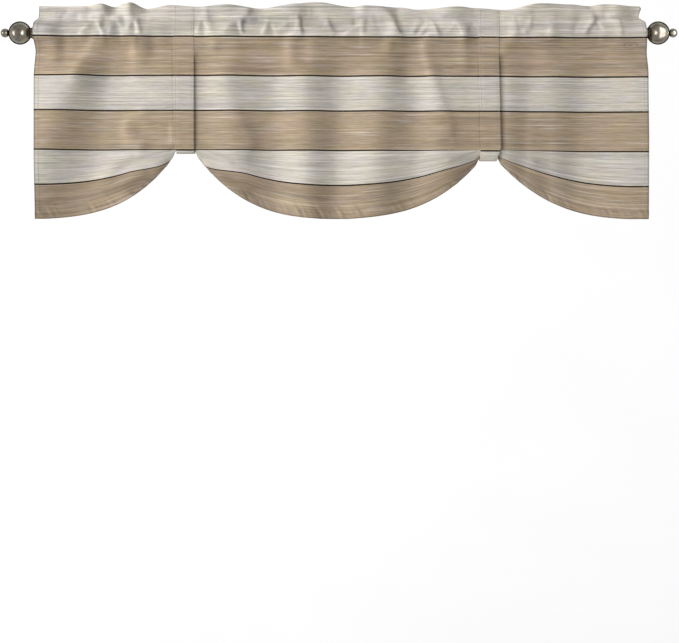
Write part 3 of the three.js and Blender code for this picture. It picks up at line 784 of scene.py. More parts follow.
def swag_section(x):
    """Cloth drawn up into back-and-forth folds at a tie, easing into a smooth swag away from it.

    Gives depth, height, height on the flat cloth, and the height there of the print that shows."""
    left_is_near = from_tie(TIES[0], x) <= from_tie(TIES[1], x)
    bunch_top = np.where(left_is_near, TIES[0].bunch_top, TIES[1].bunch_top)
    off = np.where(left_is_near, off_middle(TIES[0], x), off_middle(TIES[1], x))
    beside = np.where(left_is_near, from_tie(TIES[0], x), from_tie(TIES[1], x))
    start = lerp(bunch_top, GATHER_LINE, smoothstep(off, BUNCH_EDGE, 1))
    length = start - HEM
    height = start - swag_foot(x)
    away = 1 - smoothstep(beside, 0, SWAG_CURL_REACH)
    curl = SWAG_CURL * away * np.minimum(1, height / SWAG_CURL_HEIGHT)
    middle = (np.arange(SWAG_SUBSTEPS) + 0.5) / SWAG_SUBSTEPS
    wave = np.sin(2 * np.pi * BUNCH_WAVES * middle)
    angle = -BUNCH_TURN * (1 - smoothstep(off, BUNCH_CORE, BUNCH_EDGE)) * wave
    start_of_path = np.zeros_like(x)
    forth = np.hstack([start_of_path, np.cumsum(-np.sin(angle), axis=1)]) / SWAG_SUBSTEPS
    fall = np.hstack([start_of_path, np.cumsum(-np.cos(angle), axis=1)]) / SWAG_SUBSTEPS
    share = swag_shares()
    rows = np.rint(share * SWAG_SUBSTEPS).astype(int)
    z = start + fall[:, rows] / -fall[:, -1:] * height
    flat = start - share * length
    drawn = np.clip(height / length, 0, 1)
    sag = share * (1 + PRINT_SAG * 4 * drawn * (1 - drawn) * (1 - share))
    printed = start - sag * (length - rolled_away(x))
    fold = forth[:, rows] * length * (1 - BUNCH_TAPER * share**2) + curl * share**2
    return fold - HALF_LAYER - body_depth(x, start + fall[:, rows] * length), z, flat, printed


def relief(x, z, height, left, right, *places):
    """Soft ridge or trough along a line of places, with its own width on either side."""
    nearest, side = np.inf, 0
    for x0, z0, x1, z1 in zip(places[::2], places[1::2], places[2::2], places[3::2]):
        run_x, run_z = x1 - x0, z1 - z0
        length = math.hypot(run_x, run_z)
        along = np.clip(((x - x0) * run_x + (z - z0) * run_z) / length, 0, length)
        off_x, off_z = x - x0 - along * run_x / length, z - z0 - along * run_z / length
        distance = np.hypot(off_x, off_z) + HAIRSBREADTH
        aside = (off_z * run_x - off_x * run_z) / (length * distance)
        side = np.where(distance < nearest, aside, side)
        nearest = np.minimum(nearest, distance)
    return height * np.exp(-((nearest / lerp(left, right, (side + 1) / 2)) ** 2))


def small_pleats():
    """Small uneven ridges and troughs that run down from the header stitch and up into the header."""
    chance = np.random.default_rng(PLEAT_SEED)
    for _ in range(PLEAT_COUNT):
        x = chance.uniform(CLOTH_LEFT, CLOTH_RIGHT)
        drop = chance.uniform(*PLEAT_DROPS) * chance.choice(PLEAT_WAYS)
        lean = chance.uniform(-PLEAT_LEAN, PLEAT_LEAN)
        width = chance.uniform(*PLEAT_WIDTHS)
        height = chance.uniform(*PLEAT_SHARES) * PLEAT_HEIGHT * chance.choice(PLEAT_SIDES)
        yield height, width, width, x, HEADER_STITCH, x + lean, HEADER_STITCH - drop


def laid_out(x, z, lines):
    """All lines of relief together."""
    total = np.zeros(np.broadcast(x, z).shape)
    for line in lines:
        total += relief(x, z, *line)
    return total


def pocket_bulge(z):
    """From nought at the header stitch and the seam to one at the rod."""
    return np.clip((HEADER_STITCH - z) * (z - POCKET_SEAM) / (HEADER_STITCH * -POCKET_SEAM), 0, 1)


def hem_puckers(x, flat):
    """Small waves that the hem's stitching draws into the cloth: their rise and the shade painted on them."""
    from_stitch = flat - (HEM + BOTTOM_HEM)
    leaning = x + PUCKER_LEAN * from_stitch
    waves = sum(np.sin(2 * np.pi * leaning / length + PUCKER_PHASE * length) for length in PUCKER_WAVELENGTHS)
    slow, slower = (np.sin(x * pace + start) for pace, start in PUCKER_SWELLS)
    uneven = 1 + slow * slower
    rise = PUCKER_RISE * uneven * waves * np.exp(-((from_stitch / PUCKER_REACH) ** 2))
    # Shade painted into the colour in the troughs of the waves
    shade = PUCKER_SHADE * uneven * (0.5 - waves / 2) * np.exp(-((from_stitch / PUCKER_SHADE_REACH) ** 2))
    return rise, shade


def surface_normals(points):
    """Outward normals of a grid of points, columns first, whose rows run down the printed face."""
    along = np.gradient(points, axis=0)
    down = np.gradient(points, axis=1)
    normals = np.cross(down, along)
    return normals / np.linalg.norm(normals, axis=2, keepdims=True)


def panel_section(x):
    """Panel before its creases, row by row: turned edge, pocket back, header, pocket front, body and swag.

    Gives depth, height, height on the flat cloth, and the height there of the print that shows."""
    turned_z = np.array([[POCKET_SEAM - TURNED_EDGE, POCKET_SEAM - TURNED_EDGE / 2]])
    turned_y = HALF_LAYER - body_depth(x, turned_z)
    back_y, back_z = (part[:, ::-1] for part in pocket_layer(x, 1, POCKET_BACK_ROWS))
    behind_y, behind_z = header_layer(x, 1, HEADER_BACK_ROWS)
    ruffle = header_rise(x)
    fold_y, fold_z = -header_depth(x), HEADER_TOP + ruffle
    face_y, face_z = (part[:, ::-1] for part in header_layer(x, -1))
    front_y, front_z = pocket_layer(x, -1)
    slack = POCKET_SLACK * smoothstep(beside_tie(x), 0, SLACK_FADE_AT_TIE)
    front_y = front_y - slack * pocket_bulge(front_z)
    swag_y, swag_z, swag_flat, swag_print = swag_section(x)
    body_z = lerp(POCKET_SEAM, swag_z[:, :1], np.linspace(0, 1, BODY_ROWS + 1)[1:-1])
    body_y = -HALF_LAYER - body_depth(x, body_z)

    behind = [turned_z * np.ones_like(x), back_z, behind_z]
    before = [fold_z, face_z, front_z, body_z]
    over_fold = []
    for part in behind:
        risen = HEADER_TOP + ruffle * smoothstep(part, HEADER_STITCH, fold_z)
        over_fold.append(2 * risen - part)
    y = np.hstack([turned_y, back_y, behind_y, fold_y, face_y, front_y, body_y, swag_y])
    z = np.hstack([*behind, *before, swag_z])
    flat = np.hstack([*over_fold, *before, swag_flat])
    printed = np.hstack([*over_fold, *before, swag_print])
    return y, z, flat, printed


def panel_cloth():
    """Middle surface of the whole panel, with its creases, puckers, hems, print, and painted shade and light.
    """
    x = cloth_columns()
    y, z, flat, printed = panel_section(x)
    wide_x = x * np.ones_like(z)
    from_side = np.minimum(wide_x - CLOTH_LEFT, CLOTH_RIGHT - wide_x)
    printed_front = flat <= HEADER_TOP + header_rise(x)

    in_header = z > HEADER_STITCH
    crease_z = np.where(printed_front & ~in_header, flat, z)
    at_seam = smoothstep(-z, -POCKET_SEAM - SEAM_HOLD, -POCKET_SEAM)
    free_of_tie = smoothstep(beside_tie(x), 0, CREASE_FADE_AT_TIE)
    creases = laid_out(x, crease_z, (*CREASES, *small_pleats())) * free_of_tie
    pucker_rise, pucker_shade = hem_puckers(x, flat)
    y = y - np.where(printed_front | in_header, 1, at_seam) * creases
    y = y - np.where(printed_front, pucker_rise, 0)
    points = np.dstack([drawn_in(wide_x, z), y, z])

    in_hem = smoothstep(HEM + BOTTOM_HEM - flat, -BOTTOM_HEM_STEP, BOTTOM_HEM_STEP)
    in_side_hem = smoothstep(SIDE_HEM - from_side, -SIDE_HEM_STEP, SIDE_HEM_STEP)
    thickness = CLOTH_THICKNESS + HEM_FULLNESS * np.maximum(in_hem, in_side_hem)
    print_drop = np.where(printed_front, PRINT_DROP_AT_ROD * pocket_bulge(flat), 0)
    print_place = np.dstack([wide_x, printed + print_drop])

    # Shade painted along hollows, gathers, edges and puckers, and light painted on crests, on the printed
    # front only
    thin_lines = [(shade, THIN_WIDTH, THIN_WIDTH, *places) for shade, *places in PAINTED_GATHER_LINES]
    at_edge = 1 - smoothstep(np.minimum(flat - HEM, from_side), 0, EDGE_SHADE_REACH)
    crest_light = CREST_LIGHT * creases * smoothstep(z, 2 * POCKET_SEAM, POCKET_SEAM)
    shade = laid_out(x, z, (*SHADE_PAINTED_IN_HOLLOWS, *thin_lines)) + EDGE_SHADE * at_edge + pucker_shade - crest_light
    hollow = np.where(printed_front, shade, 0)
    return Cloth(points, surface_normals(points), print_place, thickness, hollow)


def cloth_sides(cloth):
    """Points of a cloth's face and of its reverse, half its thickness off the middle surface."""
    half = cloth.normals * (cloth.thickness / 2)[:, :, None]
    return cloth.points + half, cloth.points - half


def cloth_mesh(name, cloth, face_material, reverse_material):
    """Closed mesh with the cloth's thickness, printed on its face and plain on its reverse."""
    columns, rows = cloth.thickness.shape
    vertices = np.concatenate([side.reshape(-1, 3) for side in cloth_sides(cloth)])
    face = np.arange(columns * rows).reshape(columns, rows)
    reverse = face + columns * rows

    def quads(a, b, c, d):
        return np.stack([part.ravel() for part in (a, b, c, d)], axis=1)

    front = quads(face[:-1, :-1], face[:-1, 1:], face[1:, 1:], face[1:, :-1])
    back = quads(reverse[:-1, :-1], reverse[1:, :-1], reverse[1:, 1:], reverse[:-1, 1:])
    rim = [
        quads(face[:-1, 0], face[1:, 0], reverse[1:, 0], reverse[:-1, 0]),
        quads(face[:-1, -1], reverse[:-1, -1], reverse[1:, -1], face[1:, -1]),
        quads(face[0, :-1], reverse[0, :-1], reverse[0, 1:], face[0, 1:]),
        quads(face[-1, :-1], face[-1, 1:], reverse[-1, 1:], reverse[-1, :-1]),
    ]
    faces = np.concatenate([front, back, *rim])
    mesh = bpy.data.meshes.new(name)
    mesh.from_pydata(vertices.tolist(), [], faces.tolist())
    places = np.tile(cloth.flat.reshape(-1, 2), (2, 1))
    loops = np.empty(len(mesh.loops), int)
    mesh.loops.foreach_get("vertex_index", loops)
    mesh.uv_layers.new(name="print").uv.foreach_set("vector", places[loops].astype(np.float32).ravel())
    # Painted shade and light, which the cloth's material multiplies into its colour
    shadow = mesh.attributes.new("hollow", "FLOAT", "POINT")
    shadow.data.foreach_set("value", np.tile(cloth.hollow.ravel(), 2).astype(np.float32))
    mesh.materials.append(face_material)
    mesh.materials.append(reverse_material)
    slots = np.zeros(len(faces), np.int32)
    slots[len(front):len(front) + len(back)] = 1
    mesh.polygons.foreach_set("material_index", slots)
    mesh.shade_smooth()
    mesh.set_sharp_from_angle(angle=CLOTH_SHARP_ANGLE)
    mesh.validate()
    return mesh


# Ties

def beside_path(path, distance):
    """Path a set distance to one side of another in the same section, mitred at its corners."""
    steps = np.diff(path, axis=0)
    across = np.stack([-steps[:, 1], steps[:, 0]], axis=1)
    across /= np.linalg.norm(across, axis=1, keepdims=True)
    before = np.concatenate([across[:1], across])
    after = np.concatenate([across, across[-1:]])
    middle = before + after
    middle /= np.linalg.norm(middle, axis=1, keepdims=True)
    return path + middle * distance / np.sum(middle * before, axis=1, keepdims=True)


def path_lengths(path):
    """Length of a path up to each of its points."""
    return np.concatenate([[0], np.cumsum(np.linalg.norm(np.diff(path, axis=0), axis=1))])


def evenly(path, step):
    """The same path with points a set step apart."""
    lengths = path_lengths(path)
    at = np.linspace(0, lengths[-1], int(lengths[-1] / step) + 1)
    return np.stack([np.interp(at, lengths, path[:, axis]) for axis in (0, 1)], axis=1)


def tie_path(tie):
    """Section of a tie: down over header and pocket, free to the bunch, round under it and up behind."""
    x = np.array([[tie.x]])
    header = np.stack(header_layer(x, -1), axis=2)[0, ::-1]
    pocket = np.stack(pocket_layer(x, -1), axis=2)[0]
    front = np.concatenate([header, pocket])
    top = front[0] - (0, TIE_TOP_INSET)
    over = beside_path(np.concatenate([[top], front[front[:, 1] < top[1]]]), -TIE_OFFSET)
    behind = beside_path(np.stack(pocket_layer(x, 1), axis=2)[0], TIE_OFFSET)
    up = behind[behind[:, 1] < TIE_BACK_END][::-1]
    turn_top = tie.bottom + TIE_THICKNESS / 2 + TIE_TURN_HEIGHT
    angle = np.linspace(0, np.pi, TIE_TURN_POINTS)
    power = 2 / TIE_TURN_SQUARENESS
    cosine, sine = np.cos(angle), np.clip(np.sin(angle), 0, 1)
    turn = np.stack([
        (TIE_BACK - TIE_FRONT) / 2 - (TIE_BACK + TIE_FRONT) / 2 * np.sign(cosine) * np.abs(cosine) ** power,
        turn_top - TIE_TURN_HEIGHT * sine**power,
    ], axis=1)

    def free(start, end):
        share = np.linspace(0, 1, TIE_FREE_POINTS)[1:-1]
        y = lerp(start[0], end[0], smoothstep(share, 0, 1))
        z = lerp(start[1], end[1], share)
        return np.stack([y, z], axis=1)

    whole = [over, free(over[-1], turn[0]), turn, free(up[0], turn[-1])[::-1], up]
    return evenly(np.concatenate(whole), TIE_ROW_STEP)


def tie_cloth(tie):
    """Middle surface of one tie, pinched at its lower turn, with its edges bent back a little and thinned."""
    path = tie_path(tie)
    across = np.array(TIE_ACROSS)[:, None]
    wide = np.ones_like(across)
    y, z = path.T
    pinch = smoothstep(tie.bottom + TIE_PINCH_HEIGHT - z, 0, TIE_PINCH_HEIGHT)
    middle = tie.x + tie.lean * np.clip((POCKET_SEAM - z) / (POCKET_SEAM - tie.bottom), 0, 1)
    left = lerp(middle - TIE_WIDTH / 2, tie.foot_left, pinch)
    right = lerp(middle + TIE_WIDTH / 2, tie.foot_right, pinch)
    points = np.dstack([lerp(left, right, across + 0.5), y * wide, z * wide])

    lowest = int(np.argmin(z))
    in_front = np.arange(len(path)) <= lowest
    sewn = np.where(in_front, 1 - smoothstep(POCKET_SEAM - z, 0, TIE_FREE_BELOW), 0)
    sewn_in = TIE_OFFSET - CLOTH_THICKNESS / 2 - TIE_SEWN_GAP - TIE_SEWN_THICKNESS / 2
    edge = np.abs(2 * across)
    back = sewn_in * sewn + TIE_EDGE_DROOP * edge**TIE_EDGE_DROOP_POWER * (1 - sewn)
    points = points - surface_normals(points) * back[:, :, None]

    lengths = path_lengths(path)
    flat = np.where(in_front, z, z[lowest] - (lengths - lengths[lowest]))
    flat = flat + PRINT_DROP_AT_ROD * pocket_bulge(flat)
    print_place = np.dstack([(tie.x + across * TIE_WIDTH) * np.ones_like(z), flat * wide])

    stitch_at = 1 - 2 * TIE_EDGE_STITCH / TIE_WIDTH
    groove = TIE_GROOVE_DEPTH * np.exp(-(((edge - stitch_at) / TIE_GROOVE_SHARE) ** 2))
    rounding = TIE_ROUNDING * smoothstep(edge, TIE_ROUNDED_FROM, 1)
    thickness = lerp(TIE_THICKNESS, TIE_SEWN_THICKNESS, sewn) * (1 - rounding) * (1 - groove)

    normals = surface_normals(points)
    # Shade painted along the free edges, and light painted where the lower turn faces down
    edge_shade = TIE_EDGE_SHADE * smoothstep(edge, TIE_EDGE_SHADE_FROM, 1) * (1 - sewn)
    foot_light = TIE_FOOT_LIGHT * np.clip(-normals[:, :, 2], 0, 1) * in_front
    return Cloth(points, normals, print_place, thickness, edge_shade - foot_light)


# Stitch lines

def stitch_lines():
    """Lines along which stitches lie on the printed face: hems, pocket, header and the ties' edges."""
    panel = panel_cloth()
    surface, _ = cloth_sides(panel)
    x = cloth_columns()[:, 0]
    clear = beside_tie(x) > CREASE_FADE_AT_TIE
    runs = np.split(np.arange(len(x)), np.where(np.diff(clear.astype(int)))[0] + 1)
    open_runs = [run for run in runs if clear[run[0]]]
    middle = len(x) // 2
    front = panel.flat[middle, :, 1] <= HEADER_TOP

    def row_at(height):
        return int(np.argmin(np.abs(panel.flat[middle, :, 1] - height) + np.where(front, 0, 1)))

    first_front = row_at(HEADER_STITCH)
    for height in (HEM + BOTTOM_HEM, POCKET_SEAM, HEADER_STITCH):
        for run in open_runs:
            yield surface[run, row_at(height)]
    inset = SIDE_HEM_STEPS.index(SIDE_HEM_STITCH)
    for column in (inset, len(x) - 1 - inset):
        yield surface[column, first_front:]
    for tie in TIES:
        strap = tie_cloth(tie)
        strap_face, _ = cloth_sides(strap)
        lowest = int(np.argmin(strap.points[0, :, 2]))
        for across in (-TIE_STITCH_ACROSS, TIE_STITCH_ACROSS):
            yield strap_face[TIE_ACROSS.index(across), :lowest]


# Turned pieces

def ball_arc(centre, radius, start, end, steps):
    """Round outline of a ball between two distances along the rod, as radius and distance."""
    angle = np.linspace(math.acos((start - centre) / radius), math.acos((end - centre) / radius), steps)
    return [(radius * math.sin(a), centre + radius * math.cos(a)) for a in angle]


def finial_profile():
    """Ball, rounded crease and end bead, from the collar outwards."""
    base = FINIAL_LOW.x
    ball = ball_arc(BALL_CENTRE, BALL_RADIUS, base, FINIAL_CREASE, BALL_STEPS)
    bead = ball_arc(BEAD_CENTRE, BEAD_RADIUS, FINIAL_CREASE, BEAD_CENTRE + BEAD_RADIUS, BEAD_STEPS)
    return [(0, base), *ball, *bead[1:-1], (0, FINIAL_HIGH.x)]


def collar_profile():
    """Collar with its neck, from the rod outwards."""
    inner, outer = COLLAR_LOW.x, COLLAR_HIGH.x
    side = [(stop.radius, lerp(inner, outer, stop.share)) for stop in COLLAR_OUTLINE]
    return [(0, inner), *side, (0, outer)]


def rod_profile():
    """Rod with chamfered ends, from left to right."""
    half, short = ROD_HALF_LENGTH, ROD_HALF_LENGTH - ROD_CHAMFER
    narrow = ROD_RADIUS - ROD_CHAMFER
    return [(0, -half), (narrow, -half), (ROD_RADIUS, -short), (ROD_RADIUS, short), (narrow, half), (0, half)]


def turned_mesh(name, profile, side, material):
    """Closed mesh turned about the rod's axis from a profile that starts and ends on that axis."""
    turns = np.arange(TURNED_SIDES) * 2 * np.pi / TURNED_SIDES
    rings = profile[1:-1]
    vertices = [(side * profile[0][1], 0, 0)]
    for radius, along in rings:
        for turn in turns:
            vertices.append((side * along, radius * math.cos(turn), side * radius * math.sin(turn)))
    vertices.append((side * profile[-1][1], 0, 0))
    last = len(vertices) - 1
    faces = []
    for i in range(TURNED_SIDES):
        j = (i + 1) % TURNED_SIDES
        faces.append((0, 1 + j, 1 + i))
        for ring in range(len(rings) - 1):
            near, far = 1 + ring * TURNED_SIDES, 1 + (ring + 1) * TURNED_SIDES
            faces.append((near + i, near + j, far + j, far + i))
        end = 1 + (len(rings) - 1) * TURNED_SIDES
        faces.append((last, end + i, end + j))
    mesh = bpy.data.meshes.new(name)
    mesh.from_pydata(vertices, [], faces)
    mesh.materials.append(material)
    mesh.shade_smooth()
    mesh.set_sharp_from_angle(angle=TURNED_SHARP_ANGLE)
    mesh.validate()
    return mesh


# Nodes

class Bench:
    """Adds nodes to a tree, and sets or links their inputs."""

    def __init__(self, tree):
        self.tree = tree

    def feed(self, socket, value):
        if isinstance(value, bpy.types.NodeSocket):
            self.tree.links.new(value, socket)
        else:
            socket.default_value = value

    def feed_all(self, node, inputs):
        for name, value in inputs.items():
            self.feed(node.inputs[name], value)

    def add(self, kind, inputs=None, **settings):
        node = self.tree.nodes.new(kind)
        for name, value in settings.items():
            setattr(node, name, value)
        self.feed_all(node, inputs or {})
        return node

    def group(self, tree, inputs):
        return self.add("ShaderNodeGroup", inputs, node_tree=tree).outputs

    def math(self, operation, *values):
        return self.add("ShaderNodeMath", dict(enumerate(values)), operation=operation).outputs[0]

    def times(self, first, second):
        return self.math("MULTIPLY", first, second)

    def less(self, first, second):
        return self.math("SUBTRACT", first, second)

    def times_plus(self, first, second, third):
        return self.math("MULTIPLY_ADD", first, second, third)

    def mix(self, share, first, second, blend="MIX"):
        inputs = {0: share, 6: first, 7: second}
        return self.add("ShaderNodeMix", inputs, data_type="RGBA", blend_type=blend).outputs[2]

    def shaded(self, colour, shade):
        """Colour times one shade for red, green and blue."""
        return self.mix(1.0, colour, self.place(shade, shade, shade), "MULTIPLY")

    def ramp(self, value, low, high, start=0.0, end=1.0):
        inputs = {"Value": value, "From Min": low, "From Max": high, "To Min": start, "To Max": end}
        return self.add("ShaderNodeMapRange", inputs, interpolation_type="SMOOTHSTEP").outputs[0]

    def noise(self, place, scale, detail=2.0, roughness=0.5):
        inputs = {"Vector": place, "Scale": scale, "Detail": detail, "Roughness": roughness}
        return self.add("ShaderNodeTexNoise", inputs).outputs[0]

    def grain(self, u, v, kind, depth=0.0):
        """Noise drawn out along and across the cloth."""
        place = self.place(self.times(u, kind.along), self.times(v, kind.across), depth)
        return self.noise(place, 1.0, kind.detail, kind.roughness)

    def place(self, x, y, z=0.0):
        return self.add("ShaderNodeCombineXYZ", {0: x, 1: y, 2: z}).outputs[0]

    def parts(self, vector):
        return self.add("ShaderNodeSeparateXYZ", {0: vector}).outputs


def node_group(name, kind, inputs, outputs):
    """New node group with named sockets: its bench, the inputs inside it and the outputs inside it."""
    tree = bpy.data.node_groups.new(name, kind)
    for label, socket, default in inputs:
        made = tree.interface.new_socket(label, in_out="INPUT", socket_type=socket)
        if default is not None:
            made.default_value = default
    for label, socket in outputs:
        tree.interface.new_socket(label, in_out="OUTPUT", socket_type=socket)
    bench = Bench(tree)
    return bench, bench.add("NodeGroupInput").outputs, bench.add("NodeGroupOutput").inputs


def made_once(make):
    """Keeps a shader node group under its function's name, so that materials share it."""
    def shared():
        name = make.__name__
        if name not in bpy.data.node_groups:
            make(name)
        return bpy.data.node_groups[name]
    return shared


@made_once
def plank_print(name):
    """Planks of wood printed across the cloth: pale and tan boards, dark gaps, long worn grain and a knot."""
    colour = "NodeSocketColor"
    colours = [(label, colour, None) for label in ("Pale", "Tan", "Gap")]
    bench, given, made = node_group(
        name, "ShaderNodeTree", [("Place", "NodeSocketVector", None), *colours], [("Color", colour)])
    u, v, _ = bench.parts(given["Place"])

    period = TAN_PLANK + PALE_PLANK
    wander = bench.grain(u, v, WANDER_GRAIN)
    level = bench.times_plus(u, PRINT_SLOPE, v)
    level = bench.times_plus(wander, PRINT_WANDER, level)
    down = bench.math("DIVIDE", bench.less(PRINT_TOP_LINE + PRINT_WANDER / 2, level), period)
    board = bench.math("FLOOR", down)
    within = bench.times(bench.less(down, board), period)
    is_tan = bench.math("LESS_THAN", within, TAN_PLANK)
    to_top = bench.math("MINIMUM", within, bench.less(period, within))
    to_middle = bench.math("ABSOLUTE", bench.less(within, TAN_PLANK))
    to_gap = bench.math("MINIMUM", to_top, to_middle)
    gap = bench.ramp(to_gap, GAP_HALF_WIDTH, GAP_HALF_WIDTH + GAP_SOFTNESS, 1.0, 0.0)
    beside_gap = bench.ramp(to_gap, *GAP_LIGHT_REACH, 1.0, 0.0)
    shift = bench.times(bench.times_plus(board, 2.0, is_tan), PLANK_SHIFT)

    tone = bench.times_plus(beside_gap, GAP_LIGHT, 1.0)
    for kind, amount in GRAINS:
        tone = bench.times_plus(bench.less(bench.grain(u, v, kind, shift), 0.5), amount, tone)
    worn = bench.times(bench.ramp(bench.grain(u, v, WORN_GRAIN, shift), *WORN_THROUGH), is_tan)
    boards = bench.mix(is_tan, given["Pale"], given["Tan"])
    boards = bench.shaded(bench.mix(worn, boards, given["Pale"]), tone)
    for kind, first, second in TINTS:
        tint = bench.mix(bench.ramp(bench.grain(u, v, kind, shift), *TINT_EDGE), first, second)
        boards = bench.mix(1.0, boards, tint, "MULTIPLY")

    knot_across = bench.math("DIVIDE", bench.less(u, KNOT_X), KNOT_HALF_WIDTH)
    knot_up = bench.math("DIVIDE", bench.less(v, KNOT_Z), KNOT_HALF_HEIGHT)
    off_knot = bench.place(knot_across, knot_up)
    to_knot = bench.add("ShaderNodeVectorMath", {0: off_knot}, operation="LENGTH").outputs["Value"]
    ring = bench.math("SINE", bench.times(to_knot, KNOT_RINGS))
    rings = bench.times_plus(ring, KNOT_RING_DARK, KNOT_RING_DARK)
    rings = bench.times(rings, bench.ramp(to_knot, *KNOT_RING_REACH, 1.0, 0.0))
    eye = bench.ramp(to_knot, *KNOT_EYE_REACH, KNOT_EYE_DARK, 0.0)
    knotted = bench.mix(bench.math("MAXIMUM", rings, eye), boards, given["Gap"])
    bench.feed(made["Color"], bench.mix(bench.times(gap, GAP_COVER), knotted, given["Gap"]))


@made_once
def plain_weave(name):
    """Height of a plain weave of crossing threads, and a faint change of shade from thread to thread."""
    value = "NodeSocketFloat"
    bench, given, made = node_group(
        name, "ShaderNodeTree",
        [("Place", "NodeSocketVector", None), ("Pitch", value, 0.0007)],
        [("Height", value), ("Shade", value)])
    u, v, _ = bench.parts(given["Place"])
    turn = bench.math("DIVIDE", math.pi, given["Pitch"])
    warp = bench.math("SINE", bench.times(u, turn))
    weft = bench.math("SINE", bench.times(v, turn))
    bench.feed(made["Height"], bench.times_plus(bench.times(warp, weft), 0.5, 0.5))
    bench.feed(made["Shade"], bench.ramp(bench.grain(u, v, SLUB_GRAIN), *SLUB_SHADES))


@made_once
def metal_patina(name):
    """Blotches of dark patina on plated metal, from nought to one, and a roughness that goes with them."""
    value = "NodeSocketFloat"
    bench, given, made = node_group(
        name, "ShaderNodeTree",
        [("Place", "NodeSocketVector", None), ("Amount", value, 0.5)],
        [("Patina", value), ("Roughness", value)])
    blotch = bench.noise(given["Place"], BLOTCH_SCALE, BLOTCH_DETAIL)
    speck = bench.noise(given["Place"], SPECK_SCALE)
    both = bench.times_plus(speck, SPECK_SHARE, bench.times(blotch, 1 - SPECK_SHARE))
    cover = bench.times(bench.ramp(both, *PATINA_EDGE), given["Amount"])
    bench.feed(made["Patina"], cover)
    bench.feed(made["Roughness"], bench.times_plus(cover, PATINA_ROUGHNESS, POLISHED_ROUGHNESS))


# Materials

def new_material(name):
    """Material with its Principled shader and a bench for the nodes that feed it."""
    material = bpy.data.materials.new(name)
    material.use_nodes = True
    return material, material.node_tree.nodes["Principled BSDF"], Bench(material.node_tree)


def cloth_material(name, settings, reverse):
    """Printed cloth, or its plain reverse with the print showing faintly through."""
    material, shader, bench = new_material(name)
    place = bench.add("ShaderNodeUVMap", uv_map="print").outputs[0]
    pale, tan, gap = settings.pale_plank, settings.tan_plank, settings.plank_gap
    planks = bench.group(plank_print(), {"Place": place, "Pale": pale, "Tan": tan, "Gap": gap})
    weave = bench.group(plain_weave(), {"Place": place, "Pitch": settings.weave_pitch})
    colour = planks["Color"]
    if reverse:
        colour = bench.mix(PRINT_SHOWS_THROUGH, settings.cloth_reverse, colour)
    # Painted shade and light from the mesh darken or lighten the printed colour
    hollow = bench.add("ShaderNodeAttribute", attribute_name="hollow").outputs["Fac"]
    shade = bench.times(weave["Shade"], bench.less(1.0, hollow))
    inputs = {"Strength": WEAVE_BUMP, "Distance": WEAVE_DEPTH, "Height": weave["Height"]}
    bench.feed_all(shader, {
        "Base Color": bench.shaded(colour, shade),
        "Normal": bench.add("ShaderNodeBump", inputs).outputs[0],
        "Roughness": 0.86,
        "Specular IOR Level": 0.04,
    })
    return material


def cloth_materials(settings):
    """The cloth's printed face and its reverse, made once."""
    names = ("plank_cloth_face", "plank_cloth_reverse")
    if names[0] not in bpy.data.materials:
        for name in names:
            cloth_material(name, settings, reverse=name == names[1])
    return [bpy.data.materials[name] for name in names]


def thread_material(settings):
    """Twisted thread, a little lighter and darker along its length."""
    material, shader, bench = new_material("sewing_thread")
    place = bench.add("ShaderNodeTexCoord").outputs["Object"]
    tufts = bench.ramp(bench.noise(place, TUFT_SCALE), *TUFT_SHADES)
    colour = bench.shaded(settings.thread, tufts)
    bench.feed_all(shader, {"Base Color": colour, "Roughness": 0.7, "Sheen Weight": 0.2})
    return material


def metal_material(name, polish, patina, amount, grooves=()):
    """Plated metal with blotches of patina, darkest in grooves at given distances along the rod, and a
    painted reflection.
    """
    material, shader, bench = new_material(name)
    place = bench.add("ShaderNodeTexCoord").outputs["Object"]
    metal = bench.group(metal_patina(), {"Place": place, "Amount": amount})
    cover = metal["Patina"]
    along = bench.math("ABSOLUTE", bench.parts(place)[0])
    for groove, reach in grooves:
        off = bench.math("ABSOLUTE", bench.less(along, groove))
        dark = bench.ramp(off, GROOVE_CORE * reach, reach, GROOVE_DARK, 0.0)
        cover = bench.math("MAXIMUM", cover, dark)
    # Painted reflection: a bright ring and a dark rim multiplied into the colour by how squarely the surface
    # faces the camera
    facing = bench.add("ShaderNodeLayerWeight", {"Blend": 0.5}).outputs["Facing"]
    mirrored = bench.times(bench.ramp(facing, *PAINTED_REFLECTION_RING), bench.ramp(facing, *PAINTED_REFLECTION_RIM))
    bench.feed_all(shader, {
        "Base Color": bench.shaded(bench.mix(cover, polish, patina), mirrored),
        "Roughness": metal["Roughness"],
        "Metallic": 1.0,
        "Specular Tint": MIRRORED_TINT,
    })
    return material


def backdrop_material(glow):
    """Pale, faintly mottled paper that glows a little, so that it stays white."""
    material, shader, bench = new_material("pale_backdrop")
    place = bench.add("ShaderNodeTexCoord").outputs["Object"]
    mottle = bench.ramp(bench.noise(place, MOTTLE_SCALE, MOTTLE_DETAIL), *MOTTLE_SHADES)
    bench.feed_all(shader, {
        "Base Color": bench.place(mottle, mottle, mottle),
        "Roughness": 0.9,
        "Emission Color": (1, 1, 1, 1),
        "Emission Strength": glow,
    })
    return material


def new_piece(name, mesh):
    """Object at the origin, unturned, that holds a mesh."""
    piece = bpy.data.objects.new(name, mesh)
    bpy.context.scene.collection.objects.link(piece)
    return piece


# Operators

class VALANCE_OT_panel(bpy.types.Operator):
    """Make the cloth panel: pocket, ruffled header, folded body, swags and hems"""

    bl_idname = "valance.make_panel"
    bl_label = "Cloth panel"

    def execute(self, context):
        face, reverse = cloth_materials(context.scene.valance)
        panel = new_piece("cloth_panel", cloth_mesh("cloth_panel", panel_cloth(), face, reverse))
        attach(panel, "root")
        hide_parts("valance_panel")
        return {"FINISHED"}


